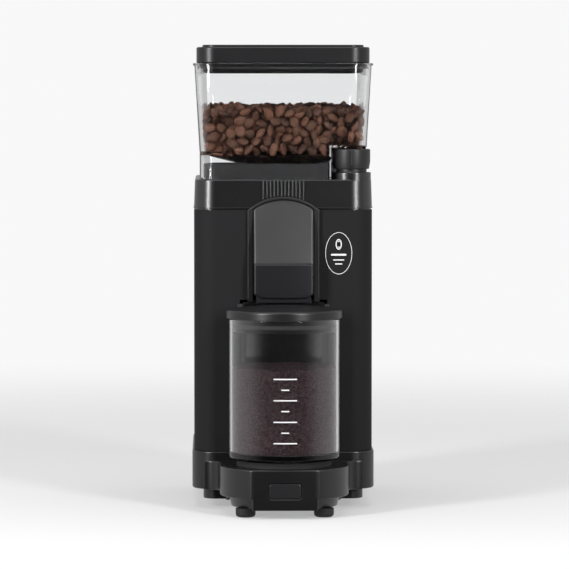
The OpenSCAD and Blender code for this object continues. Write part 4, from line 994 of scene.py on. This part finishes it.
collar_low, collar_high = box_mm("hopper_collar")
collar_room = shaped(
    "collar room",
    carried("collar room", hopper_outline(hopper_wall + 0.4 + wall),
            [(0, collar_low[2] - 1), (0, collar_high[2] + 1)]),
    ("cut", notch(notch_r + notch_wall + 0.8 + wall, collar_high[2] + 2)))
collar = shaped(
    "locating_collar",
    carried("collar", hopper_outline(hopper_wall + 0.4),
            [(0, collar_low[2]), (0, collar_high[2] - 0.7), (0.7, collar_high[2])]),
    ("cut", notch(notch_r + notch_wall + 0.8, collar_high[2] + 1)), ("cut", collar_room))
collar_black = grained("matt collar black", (0.03, 0.03, 0.032), 0.5, 2600, 0.004)
settle(collar, collar_black, "housing", "cap_black", "hopper_collar")

# ---------------------------------------------------------------------------------------
# Coffee beans: roasted beans heaped in the hopper, each with its crease. A dark core
# fills the middle of the heap, where no bean shows.
# ---------------------------------------------------------------------------------------
bean_r = 4.1
heap_top = 320


def heap_height(x, y):
    """The heap's uneven top: a few slow waves round its middle height."""
    return heap_top + 2.6 * np.sin(x / 21 + 2.6) * np.cos(y / 26) + 1.8 * np.sin(x / 9 + y / 13)


def inside_walls(p, margin):
    """Moves points sideways so that they lie inside the flared wall by margin: what is left
    over past a corner's centre is drawn in to its radius."""
    lean = flare * np.clip((p[:, 2] - hopper_floor) / (hopper_top - hopper_floor), 0, 1)
    half = np.column_stack([hopper_w / 2 + lean, hopper_d / 2 + lean]) - hopper_wall - margin
    r = np.maximum(corner_r - hopper_inset - hopper_wall - margin, 0.5)
    q = p[:, :2] - [0, body_y]
    core_box = np.clip(q, -(half - r), half - r)
    past = q - core_box
    length = np.linalg.norm(past, axis=1, keepdims=True)
    q = core_box + past * np.minimum(1, r / np.maximum(length, 1e-9))
    knob_way = q + [0, body_y] - np.array(knob_at)
    gap = np.linalg.norm(knob_way, axis=1)
    need = notch_r + hopper_wall + margin
    low = (gap < need) & (p[:, 2] < notch_top + hopper_wall + margin)
    q[low] += knob_way[low] * (need / np.maximum(gap[low], 1e-9) - 1)[:, None]
    return np.column_stack([q + [0, body_y], p[:, 2]])


def funnel_floor(p):
    """The funnel's height below each point: it rises from the throat to the walls with the
    share of the way out."""
    way = p[:, :2] - [0, burr_y]
    out = np.maximum(abs(way[:, 0]) / (hopper_w / 2 - hopper_wall),
                     np.where(way[:, 1] > 0, way[:, 1] / (body_y + hopper_d / 2 - burr_y),
                              -way[:, 1] / (burr_y - body_y + hopper_d / 2)))
    return hopper_floor + 2 - funnel_drop * (1 - np.clip(out, 0, 1) ** 1.15)


def heaped(count, rounds, draw):
    """Centres of beans as balls that push each other apart, round after round, and are kept
    between the funnel, the walls and the heap's top."""
    p = draw.uniform([-62, body_y - 75, hopper_floor], [62, body_y + 75, heap_top], (count, 3))
    for _ in range(rounds):
        gap = p[:, None] - p[None]
        far = np.sqrt((gap ** 2).sum(-1)) + np.eye(count) * 99
        push = np.clip(2 * bean_r - far, 0, None) / far
        p = p + 0.42 * (gap * push[..., None]).sum(1)
        p = inside_walls(p, bean_r)
        p[:, 2] = np.clip(p[:, 2], funnel_floor(p) + bean_r * 0.8, heap_height(p[:, 0], p[:, 1]))
    return p


def bean_form(across=10, along=7):
    """A roasted bean's points and faces: an egg of 10.6 x 8.6 x 6 mm whose flat side has a
    crease along its length."""
    a = np.linspace(0, np.pi, along + 1)[1:-1, None]
    b = np.arange(across)[None] * 2 * np.pi / across
    x = 5.3 * np.cos(a) + 0 * b
    y = 4.3 * np.sin(a) ** 0.9 * np.cos(b)
    z = 3.3 * np.sin(a) ** 0.9 * np.sin(b)
    flat = z < 0
    z = np.where(flat, z * 0.62, z) + np.where(flat & (abs(y) < 0.7), 0.8, 0)
    points = np.vstack([np.stack([x, y, z], -1).reshape(-1, 3), [[5.3, 0, 0], [-5.3, 0, 0]]])
    faces = [[k * across + (i + 1) % across, k * across + i, (k + 1) * across + i,
              (k + 1) * across + (i + 1) % across]
             for k in range(along - 2) for i in range(across)]
    first, last = len(points) - 2, len(points) - 1
    faces += [[first, i, (i + 1) % across] for i in range(across)]
    tail = (along - 2) * across
    faces += [[last, tail + (i + 1) % across, tail + i] for i in range(across)]
    return points, faces


def random_turns(count, draw):
    """Random rotation matrices, from unit quaternions."""
    q = draw.normal(size=(count, 4))
    w, x, y, z = (q / np.linalg.norm(q, axis=1, keepdims=True)).T
    return np.array([[1 - 2 * (y * y + z * z), 2 * (x * y - w * z), 2 * (x * z + w * y)],
                     [2 * (x * y + w * z), 1 - 2 * (x * x + z * z), 2 * (y * z - w * x)],
                     [2 * (x * z - w * y), 2 * (y * z + w * x), 1 - 2 * (x * x + y * y)]]
                    ).transpose(2, 0, 1)


draw = np.random.default_rng(11)
centres = heaped(1900, 45, draw)
edge = inside_walls(centres, 15)
shown = (np.linalg.norm(edge - centres, axis=1) > 0.5) | (
    centres[:, 2] > heap_height(centres[:, 0], centres[:, 1]) - 11) | (
    centres[:, 2] < funnel_floor(centres) + 7)
centres = centres[shown]
form, bean_faces = bean_form()
size = draw.uniform(0.9, 1.08, (len(centres), 1, 1))
bean_points = np.einsum("nij,pj->npi", random_turns(len(centres), draw), form) * size
bean_points = bean_points + centres[:, None]
flat_points = inside_walls(bean_points.reshape(-1, 3), 0.15)
starts = np.arange(len(centres)) * len(form)
all_faces = [[s + i for i in f] for s in starts.tolist() for f in bean_faces]
beans = mesh_piece("roasted_beans", flat_points, all_faces, 60)
tones = draw.uniform(0, 1, len(centres))
tone = beans.data.attributes.new("roast", "FLOAT", "POINT")
tone.data.foreach_set("value", np.repeat(tones, len(form)).astype(np.float32))


def roasted(name, pale, dark):
    """Oily bean skin. Each bean's own roast picks between two browns, and noise breaks up
    the gloss."""
    made = grained(name, dark, 0.5, 700, 0.25, swing=0.4, tint=0.6, specular=0.3)
    tree = made.node_tree
    roast = add_node(tree, "Attribute", attribute_name="roast")
    browns = add_node(tree, "ValToRGB")
    browns.color_ramp.elements[0].color = (*dark, 1)
    browns.color_ramp.elements[1].color = (*pale, 1)
    link(tree, roast, "Fac", browns, "Fac")
    link(tree, browns, "Color", tree.nodes["grain"], "Colour")
    return made


bean_skin = roasted("roasted bean skin", (0.27, 0.122, 0.077), (0.095, 0.043, 0.03))
settle(beans, bean_skin, "bean_hopper", "copper")
core_outline = hopper_outline(hopper_wall + 12)
core = shaped(
    "bean_heap_core",
    carried("core", core_outline, [(9, hopper_floor + 3), (0, hopper_floor + 6),
                                   (0, heap_top - 14), (4, heap_top - 10)]),
    ("cut", notch(notch_r + hopper_wall + 5, notch_top + hopper_wall + 4)))
settle(core, bean_skin, "bean_hopper", "copper")

# ---------------------------------------------------------------------------------------
# Hopper lid: a thick black moulding with soft edges and a raised middle, whose plug drops
# into the hopper.
# ---------------------------------------------------------------------------------------
top_low, top_high = box_mm("hopper_lid")
lid_w, lid_d = (top_high - top_low)[:2]
lid_corner = corner_r - hopper_inset + flare - hopper_wall + 1
lid_side_z = top_high[2] - 1.8
lid_edge = rounded_edges(hopper_top + 0.1, lid_side_z, 1.0, 1.3)[1:-1]
lid_levels = np.vstack([
    [(6.2, top_low[2]), (5, top_low[2] + 1.2), (5, top_low[2] + 5), (1.5, top_low[2] + 5),
     (1.5, hopper_top + 0.1)], lid_edge, [(4.2, lid_side_z)],
    [(4.8, lid_side_z + 0.3)], [4.8, 0] + rounded_edges(lid_side_z + 0.6, top_high[2], 0, 0.9)[2:]])
hopper_lid = shaped(
    "moulded_hopper_lid",
    carried("lid", rounded_rect(lid_w, lid_d, lid_corner, body_y), lid_levels),
    ("cut", carried("lid room", rounded_rect(lid_w - 15, lid_d - 15, lid_corner - 7.5, body_y),
                    [(0, top_low[2] - 1), (0, lid_side_z - wall)])))
settle(hopper_lid, lid_black, "bean_lid", "lid_black", "hopper_lid")

# ---------------------------------------------------------------------------------------
# Adjusting knob: a black turned moulding on a slimmer neck, pressed on its shaft, with a
# slim pointer down its side.
# ---------------------------------------------------------------------------------------
knob_r = knob_high[0] - knob_at[0]
knob_z = knob_low[2] + 2.3
knob_top = knob_high[2]
knob_profile = np.vstack([
    [(0, knob_top - 5), (4, knob_top - 5), (4, knob_low[2]), (knob_r - 2.9, knob_low[2]),
     (knob_r - 2.9, knob_z), (knob_r - 1.3, knob_z), (knob_r - 0.9, knob_z + 0.4),
     (knob_r, knob_z + 6)],
    arc(knob_r - 1.2, knob_top - 1.2, 1.2, 0, 80, 5),
    [(knob_r - 3, knob_top), (knob_r - 3.6, knob_top - 0.4), (0, knob_top - 0.4)]])
pointer = carried("pointer", (rounded_rect(1.2, 2, 0.5, knob_low[1] + 1)[0] + [knob_at[0], 0],
                              rounded_rect(1.2, 2, 0.5)[1]),
                  [(0.3, knob_z + 3), (0, knob_z + 3.4), (0, knob_top - 1.6),
                   (0.3, knob_top - 1.2)])
knob = shaped("turned_knob", turned("knob", knob_profile, knob_at, 96), ("add", pointer))
knob_black = grained("matt knob black", (0.009, 0.009, 0.01), 0.42, 2600, 0.015)
settle(knob, knob_black, "knob", "knob_black", "adjusting_knob")

# ---------------------------------------------------------------------------------------
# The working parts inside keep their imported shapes. Each gets the finish of its own stock:
# rolled and turned steel, castings, laminations, copper, plastics and the circuit board.
# ---------------------------------------------------------------------------------------


def striped(name, base, line, per_metre, axis, depth, roughness, metallic):
    """Fine parallel lines across one axis, as on stacked sheets, wound wire or turned
    metal. They change the colour between two tones and give the height."""
    made = grained(name, base, roughness, 900, 0.02, metallic=metallic)
    tree = made.node_tree
    skin = tree.nodes["Principled BSDF"]
    place = add_node(tree, "TexCoord")
    lines = add_node(tree, "TexWave",
                     {"Scale": per_metre / 20, "Distortion": 0.4}, bands_direction=axis)
    ramp = add_node(tree, "ValToRGB")
    ramp.color_ramp.elements[0].color = (*line, 1)
    ramp.color_ramp.elements[1].color = (*base, 1)
    bump = add_node(tree, "Bump", {"Distance": depth * 0.001})
    link(tree, place, "Object", lines, "Vector")
    link(tree, lines, "Fac", ramp, "Fac")
    link(tree, ramp, "Color", skin, "Base Color")
    link(tree, lines, "Fac", bump, "Height")
    link(tree, tree.nodes["grain bump"], "Normal", bump, "Normal")
    link(tree, bump, "Normal", skin, "Normal")
    return made


finishes = {
    "housing_black": moulded_black, "cap_black": cap_black, "sleeve_black": sleeve_black,
    "lid_black": lid_black, "knob_black": knob_black, "cover_smoke": smoked_painted_top_light,
    "nose_dark": nose_dark, "rubber_black": black_rubber,
    "clear_plastic": clear_plastic, "jar_glass": glass,
    "seal_grey": grained("grey silicone", (0.06, 0.06, 0.062), 0.6, 1500, 0.02),
    "steel_plate": grained("zinc plated sheet", (0.42, 0.43, 0.44), 0.38, 700, 0.01, metallic=1),
    "steel_screw": grained("zinc plated screws", (0.46, 0.46, 0.45), 0.3, 1500, 0.01, metallic=1),
    "bearing_steel": striped("ground bearing steel", (0.6, 0.6, 0.61), (0.5, 0.5, 0.51), 3000,
                             "Z", 0.005, 0.18, 1),
    "burr_steel": grained("hardened burr steel", (0.34, 0.34, 0.35), 0.3, 2200, 0.02, metallic=1),
    "motor_casting": grained("cast aluminium", (0.34, 0.345, 0.35), 0.5, 1100, 0.12, metallic=0.9),
    "laminations": striped("stacked laminations", (0.2, 0.2, 0.21), (0.06, 0.06, 0.07), 2000,
                           "Z", 0.08, 0.5, 0.8),
    "copper": striped("wound copper wire", (0.5, 0.2, 0.09), (0.22, 0.08, 0.035), 1600, "Z",
                      0.15, 0.35, 0.7),
    "brass": striped("turned brass", (0.55, 0.4, 0.15), (0.45, 0.32, 0.12), 2600, "Z", 0.005,
                     0.28, 1),
    "gear_plastic": grained("cream gear plastic", (0.62, 0.59, 0.5), 0.45, 1500, 0.01),
    "fan_plastic": grained("dark fan plastic", (0.035, 0.036, 0.04), 0.45, 1500, 0.01),
    "circuit_board": striped("green circuit board", (0.02, 0.13, 0.06), (0.035, 0.17, 0.08), 500,
                             "X", 0.02, 0.4, 0),
    "capacitor_can": grained("drawn aluminium can", (0.5, 0.5, 0.51), 0.35, 900, 0.01, metallic=1),
    "terminal_plastic": grained("white terminal plastic", (0.66, 0.64, 0.58), 0.5, 1200, 0.01),
    "wire_cover": grained("blue wire cover", (0.05, 0.12, 0.3), 0.45, 1500, 0.01),
}
for part in frame["record"]["subparts"]:
    node = frame["nodes"].get(part["node"] if "node" in part else part["name"])
    if node is not None:
        node.data.materials.clear()
        node.data.materials.append(finishes[part["material_slot"]])
